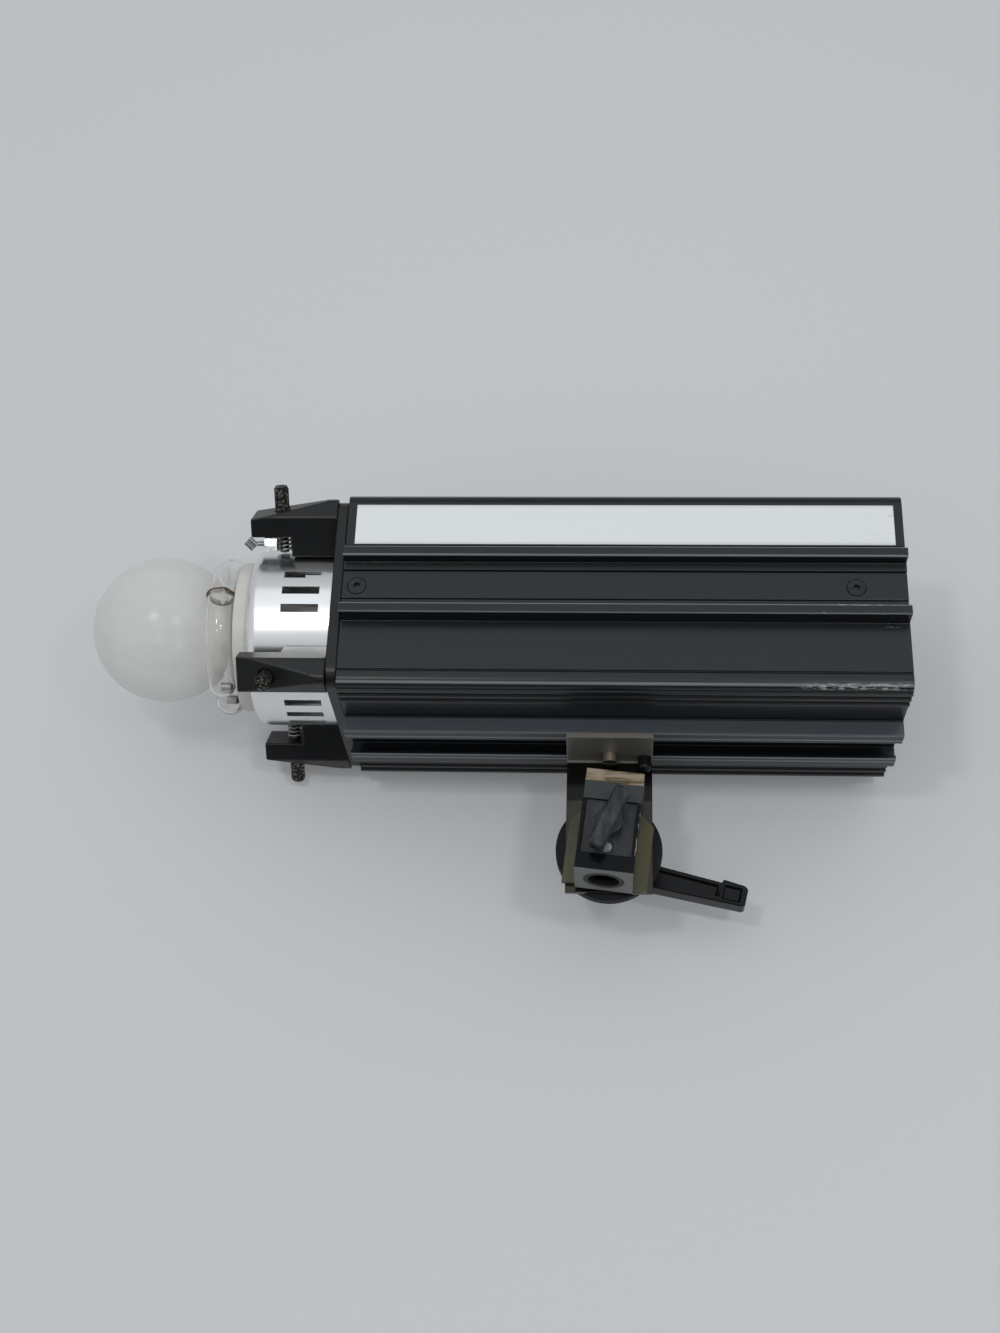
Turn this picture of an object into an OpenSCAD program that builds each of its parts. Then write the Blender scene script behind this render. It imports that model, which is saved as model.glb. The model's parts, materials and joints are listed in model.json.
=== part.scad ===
// Studio strobe: a square extruded flash head that stands on a tilting stand adapter.
// All lengths are in millimetres, +Z is up and the lamp points along -X.
// The origin is the centre of the mouth of the stand socket.

/* [Housing] */
// Length of the two extruded shells
body_len = 292; // [260:1:330]
// Width across the flat side bands
body_w = 120; // [114:1:130]
// Height from the underside to the top
body_h = 113; // [110:1:124]
// Radius of the long outer edges
edge_r = 5; // [2:0.5:8]
// Wall of the shells above and below
wall = 3; // [2:0.25:4]
// Wall of the lower shell's side at its mid band
side_wall = 4.4; // [3.5:0.2:5]
// Step back of the lower side band from the mid band
band_inset = 1.6; // [0.6:0.2:2]
// Height of the seam between the shells above the middle
seam_up = 8.8; // [6:0.2:11]
// Depth of the upper shell's tongue below the seam
tongue_h = 16; // [12:0.5:18]
// Thickness of the tongue
tongue_t = 2.4; // [1.5:0.1:3]

/* [Ridges and rails] */
// Height of the side ridges above the side bands
ridge_h = 8; // [4:0.5:12]
// Thickness of a side ridge
ridge_t = 5.8; // [3:0.2:8]
// Distance of each ridge from the middle
ridge_from_mid = 13.8; // [13:0.2:18]
// Projection of the skirt under the upper ridge
skirt_t = 1; // [0.5:0.1:2]
// Height of the fine ribs under the housing
rib_h = 1.1; // [0.5:0.1:2]
// Pitch of the fine ribs
rib_pitch = 6.2; // [5:0.2:7]
// Depth of the two mounting rails
rail_h = 9; // [7:0.5:12]
// Thickness of a rail
rail_t = 6.3; // [4:0.1:8]
// Clear width between the rails
channel_w = 27.4; // [22:0.2:32]
// Inward reach of a rail's lip
lip_w = 3.5; // [2:0.25:5]
// Thickness of a rail's lip
lip_t = 2.5; // [1.5:0.1:3.5]

/* [Front] */
// Thickness of the cast front plate
bezel_t = 6; // [4:0.5:9]
// Inset of the front plate's outline from the shells
bezel_inset = 1.5; // [0.5:0.25:3]
// Radius of the front plate's corners
bezel_r = 9; // [6:0.5:12]
// Reach of the fingers in front of the shells
finger_reach = 53; // [48:0.5:60]
// Width of a finger across its flange
finger_w = 19; // [15:0.5:22]
// Distance of the flange's inner face from the head's axis
flange_in = 60; // [57:0.5:63]
// Thickness of a finger at its tip
flange_t = 10; // [8:0.25:12]
// Rise of a finger's outer face from its tip to its root
finger_rise = 9.5; // [6:0.5:12]
// Distance of a thumbscrew in front of the shells
screw_from_front = 37; // [34:0.5:41]
// Radius of a thumbscrew's thread
screw_r = 2.5; // [2:0.1:3]
// Radius of a thumbscrew's knurled head
screw_head_r = 3.9; // [3.2:0.1:5]
// Length of a thumbscrew's head
screw_head_len = 15.4; // [10:0.2:20]
// Radius of the wire of a thumbscrew's spring
spring_wire_r = 0.5; // [0.3:0.05:0.7]
// Number of coils in a thumbscrew's spring
spring_coils = 4; // [3:1:6]

/* [Collar] */
// Outer radius of the polished collar
collar_r = 48.5; // [46:0.25:49]
// Wall of the collar
collar_wall = 1.6; // [1:0.1:2.5]
// Reach of the collar in front of the shells
collar_reach = 53; // [48:0.5:58]
// Radius of the rolled front edge
collar_lip_r = 6; // [3:0.5:8]
// Length of a vent slot
vent_len = 20; // [12:0.5:24]
// Height of a vent slot
vent_w = 4.6; // [2:0.2:6]
// Angle between neighbouring vent slots
vent_step = 12.5; // [10:0.5:15]

/* [Flash tube and lamp] */
// Radius of the flash tube's ring at its centre line
tube_ring_r = 35.6; // [32:0.2:38]
// Radius of the flash tube's glass
tube_r = 7.6; // [5:0.2:8]
// Distance of the ring in front of the collar's edge
tube_ahead = 16.2; // [14:0.2:20]
// Radius of the tube's ceramic base
tube_base_r = 41; // [38:0.5:43]
// Projection of the ceramic base from the collar
tube_base_out = 8; // [4:0.5:8]
// Diameter of the modelling lamp's globe
globe_d = 80; // [60:1:82]
// Distance of the globe's centre in front of the shells
globe_from_front = 106.5; // [104:0.5:112]
// Rise of the lamp above the head's axis
lamp_rise = 4; // [0:0.5:5]
// Thickness of the globe's glass
globe_wall = 0.9; // [0.6:0.1:1.4]
// Radius of the lamp's screw cap
lamp_cap_r = 13; // [12:0.1:14]

/* [Stand adapter] */
// Radius of the socket for a stand's stud
socket_r = 8.1; // [6.5:0.05:8.5]
// Depth of the socket
socket_depth = 40; // [30:0.5:42]
// Width and depth of the adapter's block
block_w = 30; // [27:0.5:34]
// Length of the block from the socket's mouth to its brass cap
block_len = 47.6; // [46:0.2:52]
// Thickness of the brass cap
cap_t = 7.2; // [4:0.2:8]
// Height of the tilt axis above the socket's mouth
pivot_up = 24.8; // [22:0.2:27]
// Lean of the adapter away from upright
lean = 6.2; // [0:0.2:15]
// Width of the olive back plate
backplate_w = 44.4; // [40:0.2:48]
// Length of the olive back plate
backplate_len = 41.6; // [38:0.2:44]
// Thickness of the back plate
backplate_t = 3; // [2:0.1:4]
// Length of the locking knob's bar
knob_len = 34.4; // [26:0.2:40]
// Thickness of the locking knob's bar
knob_t = 8; // [6:0.2:9]
// Turn of the locking knob's bar from the block's own axis
knob_turn = 18; // [0:1:90]

/* [Tilt bracket] */
// Width of the bracket along the housing
bracket_w = 45.4; // [40:0.2:52]
// Thickness of the bracket's plates
bracket_t = 3; // [2:0.1:4]
// Reach of the top plate in front of the upright plate
bracket_reach = 30.5; // [26:0.5:34]
// Drop of the tilt axis below the top plate
pivot_drop = 49.3; // [46:0.1:58]
// Length of the upright plate below the tilt axis
bracket_tail = 24.6; // [20:0.2:28]
// Distance of the bracket's centre behind the front of the shells
bracket_at = 140; // [110:1:170]
// Radius of the tilt bolt
bolt_r = 5; // [4:0.1:6]
// Radius of the friction disc
disc_r = 28; // [22:0.5:30]
// Thickness of the friction disc
disc_t = 7.6; // [4:0.2:9]
// Length of the tilt lever's hub
hub_len = 27; // [20:0.5:32]
// Reach of the tilt lever from its axis
lever_reach = 75; // [60:0.5:82]
// Droop of the tilt lever at rest
lever_droop = 13; // [0:1:30]
// Radius of the clamp screw
clamp_r = 4; // [3:0.1:5]

/* [Rear panel] */
// Thickness of the rear panel
panel_t = 3; // [2:0.25:4]
// Depth of the rear panel's face inside the shells' ends
panel_recess = 2.5; // [1:0.25:5]
// Size of the cooling fan
fan_size = 60; // [50:1:64]
// Depth of the cooling fan
fan_t = 20; // [15:0.5:25]
// Length of a power slider's slot
slot_len = 40; // [34:0.5:44]

/* [Inside] */
// Diameter of a storage capacitor
capacitor_d = 48; // [40:0.5:48]
// Height of a storage capacitor
capacitor_h = 86; // [70:1:90]
// Thickness of a circuit board
board_t = 1.6; // [1.2:0.2:2.4]

/* [Clearances] */
// Radial gap of a turning or sliding shaft
run_gap = 0.06; // [0.03:0.01:0.09]
// Gap between faces that slide past each other
slide_gap = 0.2; // [0.1:0.05:0.3]
// Gap round a piece that is fitted by hand
fit_gap = 0.3; // [0.2:0.05:0.5]

/* [Hidden] */
$fn = 96;
eps = 0.01;

// Places that the pieces share
half_w = body_w / 2;
half_h = body_h / 2;
inner_w = body_w - 2 * side_wall;
inner_h = body_h - 2 * wall;
tongue_x = half_w - side_wall - slide_gap;
socket_offset = 9.5;
pivot_x = pivot_up * sin(lean);
pivot_z = pivot_up * cos(lean);
plate_top = half_h + rail_h + slide_gap;
head_x = pivot_x - bracket_at;
head_z = pivot_z + plate_top + bracket_t + pivot_drop;
back_y = block_w / 2;
upright_y = back_y + backplate_t + slide_gap;
disc_y = upright_y + bracket_t;
hub_y = disc_y + disc_t + slide_gap;
corner_angle = atan2(body_h, body_w);
panel_x = body_len - panel_recess - panel_t;
boss_r = 3.2;
boss_hole_r = 1.3;
boss_inset = 3;
boss_y = half_w - side_wall - boss_inset;
boss_z = half_h - wall - boss_inset;
catch_flat = 3.7;
catch_len = 6.7;
catch_front = finger_reach - 7.3;
catch_side = finger_w / 2 - 1.2;

// Frames: the head's axis at the front of the shells, the tilt axis and the leaning adapter
module at_head() {
    translate([head_x, socket_offset, head_z]) children();
}

module at_pivot() {
    translate([pivot_x, 0, pivot_z]) children();
}

module at_adapter() {
    rotate([0, lean, 0]) children();
}

// Turns a piece drawn with +Z outward onto one of the four diagonals of the head
module at_finger(i) {
    angle = [corner_angle, 180 - corner_angle, 180 + corner_angle, -corner_angle][i - 1];
    at_head() rotate([angle - 90, 0, 0]) children();
}

// Extrudes an outline in Y and Z along +X
module along_x(len) {
    rotate([90, 0, 90]) linear_extrude(len) children();
}

// Extrudes an outline in X and Z along +Y
module along_y(len) {
    translate([0, len, 0]) rotate([90, 0, 0]) linear_extrude(len) children();
}

module rod_x(r, len) {
    rotate([0, 90, 0]) cylinder(r = r, h = len);
}

module rod_y(r, len) {
    rotate([-90, 0, 0]) cylinder(r = r, h = len);
}

module rounded(w, h, r) {
    square([w - 2 * r, h], center = true);
    square([w, h - 2 * r], center = true);
    for (sx = [-1, 1], sy = [-1, 1]) translate([sx * (w / 2 - r), sy * (h / 2 - r)]) circle(r);
}

// A box by its centre in Y and Z, from x along +X
module bar_x(x, len, y, z, w, h) {
    translate([x, y - w / 2, z - h / 2]) cube([len, w, h]);
}

module knurled(r, len, teeth) {
    depth = 0.35;
    linear_extrude(len) polygon([for (i = [0 : 2 * teeth - 1])
        let (a = 180 * i / teeth, q = i % 2 == 0 ? r : r - depth) [q * cos(a), q * sin(a)]]);
}

// Housing
module ridge_pair(z) {
    tip = 1;
    w = body_w + 2 * ridge_h;
    translate([0, z + ridge_t / 2]) rounded(w, ridge_t, tip);
}

module cavity() {
    square([inner_w, inner_h], center = true);
}

module screw_bosses(side) {
    for (sy = [-1, 1]) translate([sy * boss_y, side * boss_z]) circle(boss_r);
}

module boss_holes(side) {
    for (sy = [-1, 1]) translate([sy * boss_y, side * boss_z]) circle(boss_hole_r);
}

module upper_profile() {
    groove = 0.6;
    groove_h = 1.2;
    border = 4.6;
    difference() {
        union() {
            difference() {
                intersection() {
                    union() {
                        rounded(body_w, body_h, edge_r);
                        ridge_pair(ridge_from_mid);
                        translate([0, (seam_up + ridge_from_mid) / 2 + 1])
                            square([body_w + 2 * skirt_t, ridge_from_mid - seam_up + 2], center = true);
                    }
                    translate([-body_w, seam_up]) square([2 * body_w, body_h]);
                }
                cavity();
            }
            screw_bosses(1);
            for (s = [-1, 1]) translate([s * (tongue_x - tongue_t / 2), seam_up - tongue_h / 2 + 1])
                square([tongue_t, tongue_h + 2], center = true);
            for (s = [-1, 1]) translate([s * (tongue_x - tongue_t / 2 + slide_gap / 2), seam_up + 2])
                square([tongue_t + slide_gap + eps, 4 - 2 * slide_gap], center = true);
        }
        boss_holes(1);
        for (s = [-1, 1], z = [half_h - border, ridge_from_mid + ridge_t + 4])
            translate([s * half_w, z]) square([2 * groove, groove_h], center = true);
    }
}

module lower_profile() {
    low_w = body_w - 2 * band_inset;
    ledge = ridge_from_mid - 6.3;
    rib_first = half_w - 8;
    difference() {
        union() {
            intersection() {
                rounded(low_w, body_h, edge_r);
                translate([-body_w, -body_h]) square([2 * body_w, body_h + seam_up]);
            }
            translate([0, (seam_up - ledge) / 2]) square([body_w, seam_up + ledge], center = true);
            translate([0, -(ledge + ridge_from_mid + 1) / 2])
                square([body_w - 1.6, ridge_from_mid + 1 - ledge + eps], center = true);
            ridge_pair(-ridge_from_mid - ridge_t);
            for (s = [-1, 1]) translate([s * (channel_w + rail_t) / 2, -half_h - rail_h / 2 + 0.5])
                square([rail_t, rail_h + 1], center = true);
            for (s = [-1, 1]) translate([s * (channel_w - lip_w) / 2, -half_h - rail_h + lip_t / 2])
                square([lip_w + eps, lip_t], center = true);
            for (s = [-1, 1], i = [0 : 2]) translate([s * (rib_first - i * rib_pitch), -half_h])
                rounded(2.6, 2 * rib_h, 0.5);
        }
        difference() {
            cavity();
            screw_bosses(-1);
        }
        boss_holes(-1);
        for (s = [-1, 1]) translate([s * (half_w - band_inset), -half_h + 8.6])
            square([0.8, 1], center = true);
    }
}

screw_places = [for (x = [7.6, body_len - 26.2], s = [-1, 1]) [x, s]];
shell_screw_r = 2.4;
shell_screw_head_r = 4.75;
shell_screw_head_t = 2.4;

module shell_screw(clear) {
    translate([0, -half_w - eps, 0]) rod_y(shell_screw_head_r + clear, shell_screw_head_t + eps);
    translate([0, -half_w, 0]) rod_y(shell_screw_r + clear, side_wall + slide_gap + tongue_t);
}

module at_shell_screws() {
    for (p = screw_places) translate([p[0], 0, 0]) mirror([0, p[1] > 0 ? 1 : 0, 0]) children();
}

module panel_pocket() {
    translate([panel_x - fit_gap, 0, 0]) along_x(body_len) cavity();
}

module upper_shell() {
    color("#23272d") at_head() difference() {
        along_x(body_len) upper_profile();
        at_shell_screws() shell_screw(0);
        panel_pocket();
    }
}

module lower_shell() {
    color("#1d2127") at_head() difference() {
        along_x(body_len) lower_profile();
        at_shell_screws() shell_screw(fit_gap / 2);
        panel_pocket();
    }
}

module shell_screws() {
    hex_r = 2;
    hex_depth = 1.8;
    ring = 0.5;
    reach = side_wall + slide_gap + tongue_t - ring;
    color("#3a3d42") at_head() at_shell_screws() difference() {
        union() {
            translate([0, -half_w + 0.1, 0]) rod_y(shell_screw_head_r - 0.05, shell_screw_head_t - 0.15);
            translate([0, -half_w + ring, 0]) rod_y(shell_screw_r - 0.02, reach);
        }
        translate([0, -half_w - 1, 0]) rotate([-90, 0, 0]) cylinder(r = hex_r, h = hex_depth + 1, $fn = 6);
    }
}

label_t = 0.5;
label_margin = 4.8;
label_low = ridge_from_mid + ridge_t + 5.2;
label_high = half_h - 7.8;

module label_plate() {
    translate([label_margin, -half_w - label_t, label_low])
        cube([body_len - 2 * label_margin, label_t, label_high - label_low]);
}

module label_near() {
    color("#dfe3e6") at_head() label_plate();
}

module label_far() {
    color("#dfe3e6") at_head() mirror([0, 1, 0]) label_plate();
}

// Front plate, its fingers and their screws
finger_hole_r = screw_r + run_gap;
bezel_hole_r = 26;

module front_bezel() {
    w = body_w - 2 * bezel_inset;
    h = body_h - 2 * bezel_inset;
    color("#17191d") difference() {
        at_head() translate([-bezel_t, 0, 0]) along_x(bezel_t) rounded(w, h, bezel_r);
        at_head() translate([-bezel_t - 1, 0, 0]) rod_x(bezel_hole_r, bezel_t + 2);
    }
}

// Outline of a finger seen from the side, x forward and z outward
module finger_side() {
    root = collar_r + 0.7;
    tip_out = flange_in + flange_t;
    web_x = screw_from_front - 5.5;
    polygon([
        [-bezel_t, root], [-web_x, root], [-web_x, flange_in], [-finger_reach, flange_in],
        [-finger_reach, tip_out], [-bezel_t, tip_out + finger_rise]
    ]);
}

// The front plate's square, carried forward: its planes cut the sides of each finger near the root
module finger_square() {
    corner = 4;
    translate([-finger_reach - 1, 0, 0]) along_x(finger_reach + 1)
        rounded(body_w - 2 * bezel_inset, body_h - 2 * bezel_inset, corner);
}

module finger(i) {
    seat = flange_in + flange_t + 0.5;
    color("#15171b") difference() {
        intersection() {
            at_head() finger_square();
            at_finger(i) translate([0, -finger_w / 2, 0]) along_y(finger_w) finger_side();
        }
        at_finger(i) translate([-screw_from_front, 0, 0]) cylinder(r = finger_hole_r, h = 2 * flange_in);
        at_finger(i) translate([-screw_from_front, 0, seat]) cylinder(r = screw_head_r + fit_gap, h = 20);
    }
}

module finger_1() { finger(1); }
module finger_2() { finger(2); }
module finger_3() { finger(3); }
module finger_4() { finger(4); }

module thumbscrew(i) {
    tip = collar_r + 1.2;
    seat = flange_in + flange_t + 0.7;
    slot = 1.1;
    color("#4b4945") at_finger(i) translate([-screw_from_front, 0, 0]) difference() {
        union() {
            translate([0, 0, tip]) cylinder(r = screw_r, h = seat - tip + 1);
            translate([0, 0, seat]) knurled(screw_head_r, screw_head_len - 1, 20);
            translate([0, 0, seat + screw_head_len - 1]) cylinder(r = screw_head_r - 0.7, h = 1);
        }
        translate([-screw_head_r, -slot / 2, seat + screw_head_len - 1]) cube([2 * screw_head_r, slot, 2]);
    }
}

module thumbscrew_1() { thumbscrew(1); }
module thumbscrew_2() { thumbscrew(2); }
module thumbscrew_3() { thumbscrew(3); }
module thumbscrew_4() { thumbscrew(4); }

// One unbroken coil of wire round a thumbscrew, rings of points joined into a tube
spring_low = collar_r + 1;
spring_high = flange_in - 0.3;
spring_mean_r = screw_r + 1.6;
rings_per_coil = 8;
wire_sides = 6;
spring_rings = spring_coils * rings_per_coil;
spring_rise = spring_high - spring_low - 2 * spring_wire_r;

function spring_point(k, j) =
    let (a = 360 * k / rings_per_coil, b = 360 * j / wire_sides,
        r = spring_mean_r + spring_wire_r * cos(b),
        z = spring_low + spring_wire_r + spring_rise * k / spring_rings + spring_wire_r * sin(b))
    [r * cos(a), r * sin(a), z];

module finger_spring() {
    points = [for (k = [0 : spring_rings], j = [0 : wire_sides - 1]) spring_point(k, j)];
    sides = [for (k = [0 : spring_rings - 1], j = [0 : wire_sides - 1])
        let (a = k * wire_sides + j, b = k * wire_sides + (j + 1) % wire_sides) each [
            [a, b, b + wire_sides], [a, b + wire_sides, a + wire_sides]]];
    first = [for (j = [1 : wire_sides - 2]) [0, j + 1, j]];
    end = spring_rings * wire_sides;
    last = [for (j = [1 : wire_sides - 2]) [end, end + j, end + j + 1]];
    polyhedron(points, concat(sides, first, last));
}

echo("Least gap between a spring's coils", spring_rise / spring_coils - 2 * spring_wire_r);

module finger_springs() {
    color("#8a8a86") for (i = [1 : 4]) at_finger(i) translate([-screw_from_front, 0, 0]) finger_spring();
}

// Small turning catch under the upper near finger
catch_stem_r = 1.3;

module at_catch() {
    at_finger(2) translate([-catch_front, -catch_side, flange_in - catch_flat]) children();
}

module catch_body() {
    color("#c9ccd0") at_catch() difference() {
        rotate([0, 90, 0]) rotate([0, 0, 30]) cylinder(r = catch_flat / cos(30), h = catch_len, $fn = 6);
        translate([-1, 0, 0]) rod_x(catch_stem_r + run_gap, catch_len + 2);
    }
}

module catch_pin() {
    stem_out = 4.4;
    stem_in = catch_len - 1;
    grip_r = 2.7;
    grip_len = 5.4;
    grip_turn = 45;
    color("#8d8f92") at_catch() {
        translate([-stem_out, 0, 0]) rod_x(catch_stem_r, stem_out + stem_in);
        translate([-stem_out - grip_r - 0.7, 0, 0]) rotate([0, -grip_turn, 0])
            translate([0, 0, -grip_len / 2]) knurled(grip_r, grip_len, 14);
    }
}

// Polished collar round the lamp
module collar_section() {
    front = collar_reach;
    inner = collar_r - collar_wall;
    lip_in = collar_r - collar_lip_r;
    translate([inner, bezel_t]) square([collar_wall, front - collar_lip_r - bezel_t]);
    translate([lip_in, front - collar_lip_r]) intersection() {
        difference() {
            circle(collar_lip_r);
            circle(collar_lip_r - collar_wall);
        }
        square(collar_lip_r);
    }
}

module collar() {
    vent_x = 34;
    vent_turn = -4;
    color("#c9ced3") at_head() difference() {
        rotate([0, -90, 0]) rotate_extrude() collar_section();
        for (side = [0 : 90 : 270], k = [-1 : 1]) rotate([side + vent_turn + k * vent_step, 0, 0])
            translate([-vent_x, collar_r - 2 * collar_wall, -vent_w / 2])
                cube([vent_len, 4 * collar_wall, vent_w]);
    }
}

// Ceramic base, flash tube and its pins
tube_leg_angles = [-104, -76];
tube_leg_r = 4.6;
tube_leg_seat = 5;
tube_pin_r = 1.6;
base_hole_r = 22;
base_back = 8;
base_rim_t = 3;

module tube_base() {
    rim_at = collar_lip_r + 2 * fit_gap;
    depth = tube_base_out + rim_at + base_rim_t;
    color("#e6e1d6") at_head() difference() {
        union() {
            translate([-collar_reach - tube_base_out, 0, 0]) rod_x(tube_base_r, tube_base_out + base_back);
            translate([-collar_reach + rim_at, 0, 0])
                rod_x(collar_r - collar_wall - slide_gap / 2, base_rim_t);
        }
        translate([-collar_reach - tube_base_out - 1, 0, lamp_rise / 2]) rod_x(base_hole_r, depth + 2);
        at_tube_legs() translate([-1, 0, 0]) rod_x(tube_leg_r + fit_gap / 2, tube_leg_seat + 1);
        at_tube_legs() rod_x(tube_pin_r + run_gap, depth + 1);
    }
}

module at_tube_legs() {
    for (a = tube_leg_angles) rotate([a, 0, 0])
        translate([-collar_reach - tube_base_out, tube_ring_r, 0]) children();
}

module flash_tube() {
    ring_x = -collar_reach - tube_ahead;
    end_angle = 8;
    first = tube_leg_angles[1] - end_angle;
    sweep = 360 - (tube_leg_angles[1] - tube_leg_angles[0]) + 2 * end_angle;
    leg = tube_ahead - tube_base_out + tube_leg_seat;
    color([0.92, 0.92, 0.88, 0.6]) at_head() {
        translate([ring_x, 0, 0]) rotate([first, 0, 0]) rotate([0, 90, 0]) rotate([0, 0, 90])
            rotate_extrude(angle = sweep) translate([tube_ring_r, 0]) circle(tube_r);
        at_tube_legs() translate([tube_base_out - tube_ahead, 0, 0]) rod_x(tube_leg_r, leg);
    }
}

module tube_pins() {
    pin_len = 16;
    color("#b9b6ac") at_head() at_tube_legs() translate([tube_leg_seat, 0, 0]) rod_x(tube_pin_r, pin_len);
}

// Modelling lamp and its socket
globe_r = globe_d / 2;
neck_r = 13.6;
neck_len = 12;
cap_len = 25;
cap_front = globe_from_front - globe_r - neck_len;

module lamp_frame() {
    at_head() translate([0, 0, lamp_rise]) rotate([0, -90, 0]) children();
}

module globe_outline(inset) {
    intersection() {
        translate([0, globe_from_front]) circle(globe_r - inset);
        square([globe_r, 2 * globe_from_front]);
    }
    translate([0, cap_front]) square([neck_r - inset, globe_from_front - cap_front]);
}

module lamp_globe() {
    color([0.93, 0.93, 0.9, 0.9]) lamp_frame() rotate_extrude() difference() {
        globe_outline(0);
        globe_outline(globe_wall);
        translate([0, cap_front - 1]) square([neck_r - globe_wall, 3]);
    }
}

module lamp_cap() {
    color("#b9b08c") lamp_frame() {
        translate([0, 0, cap_front - cap_len + 4]) cylinder(r = lamp_cap_r, h = cap_len - 4);
        translate([0, 0, cap_front - cap_len]) cylinder(r = lamp_cap_r - 6, h = 4);
    }
}

module lamp_socket() {
    outer_r = 19;
    flange_r = 33;
    foot_t = 3;
    front = cap_front - 3;
    color("#e9e5da") lamp_frame() difference() {
        union() {
            translate([0, 0, bezel_t]) cylinder(r = outer_r, h = front - bezel_t);
            translate([0, 0, bezel_t]) cylinder(r = flange_r, h = foot_t);
        }
        translate([0, 0, cap_front - cap_len - 0.5]) cylinder(r = lamp_cap_r + fit_gap, h = cap_len + 10);
    }
}

// Stand adapter
bushing_r = 10.5;
pocket_depth = 1.6;
pocket_w = block_w - 4;
pocket_low = 9;
pocket_high = block_len - 9.5;
knob_screw_r = 3;
near_y = -block_w / 2;

module adapter_block() {
    head_pocket = 5.5;
    color("#1c1e21") at_adapter() difference() {
        translate([-block_w / 2, near_y, 0]) cube([block_w, block_w, block_len]);
        translate([0, 0, -1]) cylinder(r = socket_r, h = socket_depth + 1);
        translate([0, 0, -1]) cylinder(r = bushing_r, h = 4);
        translate([-pocket_w / 2, near_y - 1, pocket_low])
            cube([pocket_w, pocket_depth + 1, pocket_high - pocket_low]);
        translate([0, near_y - 1, pivot_up]) rod_y(knob_screw_r + run_gap, block_w / 2);
        translate([0, back_y - head_pocket, pivot_up]) rod_y(bolt_head_r + fit_gap, head_pocket + 1);
        grub_place() rod_y(grub_r, 5);
    }
}

module adapter_cap() {
    color("#a2865b") at_adapter()
        translate([-block_w / 2, near_y, block_len]) cube([block_w, block_w, cap_t]);
}

module adapter_backplate() {
    low = 2.2;
    corner = 6;
    w = backplate_w / 2;
    top = low + backplate_len;
    color("#5d573f") at_adapter() difference() {
        translate([0, back_y, 0]) along_y(backplate_t) polygon([
            [-w, low], [w, low], [w, top - corner], [w - corner, top], [-w + corner, top], [-w, top - corner]
        ]);
        translate([0, back_y - 1, pivot_up]) rod_y(bolt_r + run_gap, backplate_t + 2);
    }
}

module socket_bushing() {
    color("#0e0f10") at_adapter() difference() {
        cylinder(r = bushing_r - 0.05, h = 3);
        translate([0, 0, -1]) cylinder(r = socket_r, h = 5);
    }
}

grub_r = 2.6;

module grub_place() {
    translate([0, near_y + pocket_depth, pivot_up - 11.5]) children();
}

module grub_screw() {
    square_w = 3.4;
    color("#a9adb0") at_adapter() grub_place() {
        translate([0, eps, 0]) rod_y(grub_r - 0.05, 4.5);
        translate([-square_w / 2, -1.2, -square_w / 2]) cube([square_w, 1.2 + 2 * eps, square_w]);
    }
}

module lock_knob() {
    hub_r = 7;
    stand_off = 5.5;
    screw_len = block_w / 2 - socket_r - fit_gap;
    tip_r = 2;
    color("#26282b") at_adapter() translate([0, near_y, pivot_up]) {
        translate([0, -1, 0]) rod_y(knob_screw_r, screw_len + 1);
        translate([0, -stand_off - 1, 0]) rod_y(hub_r, stand_off + 1 - slide_gap);
        translate([0, -stand_off - knob_t, 0]) rotate([0, knob_turn, 0]) along_y(knob_t)
            rounded(knob_t, knob_len, tip_r);
    }
}

// Tilt bracket, its bolt and its lever
bolt_head_r = 8;
bolt_head_t = 5;

module tilt_bracket() {
    w = bracket_w / 2;
    tail = -bracket_tail;
    top = pivot_drop + bracket_t;
    color("#55503c") at_pivot() difference() {
        union() {
            translate([-w, upright_y, tail]) cube([bracket_w, bracket_t, top - tail]);
            translate([-w, upright_y - bracket_reach, pivot_drop])
                cube([bracket_w, bracket_reach + eps, bracket_t]);
        }
        translate([0, upright_y - 1, 0]) rod_y(bolt_r + eps, bracket_t + 2);
        translate([0, socket_offset, pivot_drop - 1]) cylinder(r = clamp_r + run_gap, h = bracket_t + 2);
    }
}

module friction_disc() {
    rim = 2;
    color("#191a1c") at_pivot() translate([0, disc_y, 0]) difference() {
        union() {
            rod_y(disc_r, disc_t - rim);
            rod_y(disc_r - rim, disc_t);
        }
        translate([0, -1, 0]) rod_y(bolt_r + eps, disc_t + 2);
    }
}

module tilt_bolt() {
    from = back_y - bolt_head_t;
    color("#8e9196") at_pivot() {
        translate([0, from, 0]) rod_y(bolt_head_r, bolt_head_t - slide_gap);
        translate([0, from + 1, 0]) rod_y(bolt_r, hub_y + hub_len - 4 - from - 1);
    }
}

module at_clamp() {
    at_pivot() translate([0, socket_offset, 0]) children();
}

module clamp_nut() {
    nut_len = 30;
    nut_t = rail_h - lip_t - 2;
    low = pivot_drop + bracket_t + slide_gap + lip_t + slide_gap;
    color("#7d7f80") at_clamp() difference() {
        translate([-nut_len / 2, -channel_w / 2 + slide_gap, low])
            cube([nut_len, channel_w - 2 * slide_gap, nut_t]);
        translate([0, 0, low - 1]) cylinder(r = clamp_r + run_gap, h = nut_t + 2);
    }
}

module clamp_screw() {
    below = 5;
    top = pivot_drop + bracket_t + 2 * slide_gap + rail_h - 1.2;
    slot = 1.2;
    color("#77736a") at_clamp() difference() {
        translate([0, 0, pivot_drop - below]) cylinder(r = clamp_r, h = top - pivot_drop + below);
        translate([-clamp_r, -slot / 2, pivot_drop - below - 1]) cube([2 * clamp_r, slot, 2]);
    }
}

module stop_pin() {
    r = 3.6;
    drop = 5;
    color("#101113") at_pivot() translate([bracket_w / 2 - r - 0.5, upright_y - r - 1.2, pivot_drop - drop]) {
        cylinder(r = r, h = drop);
        sphere(r);
    }
}

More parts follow.
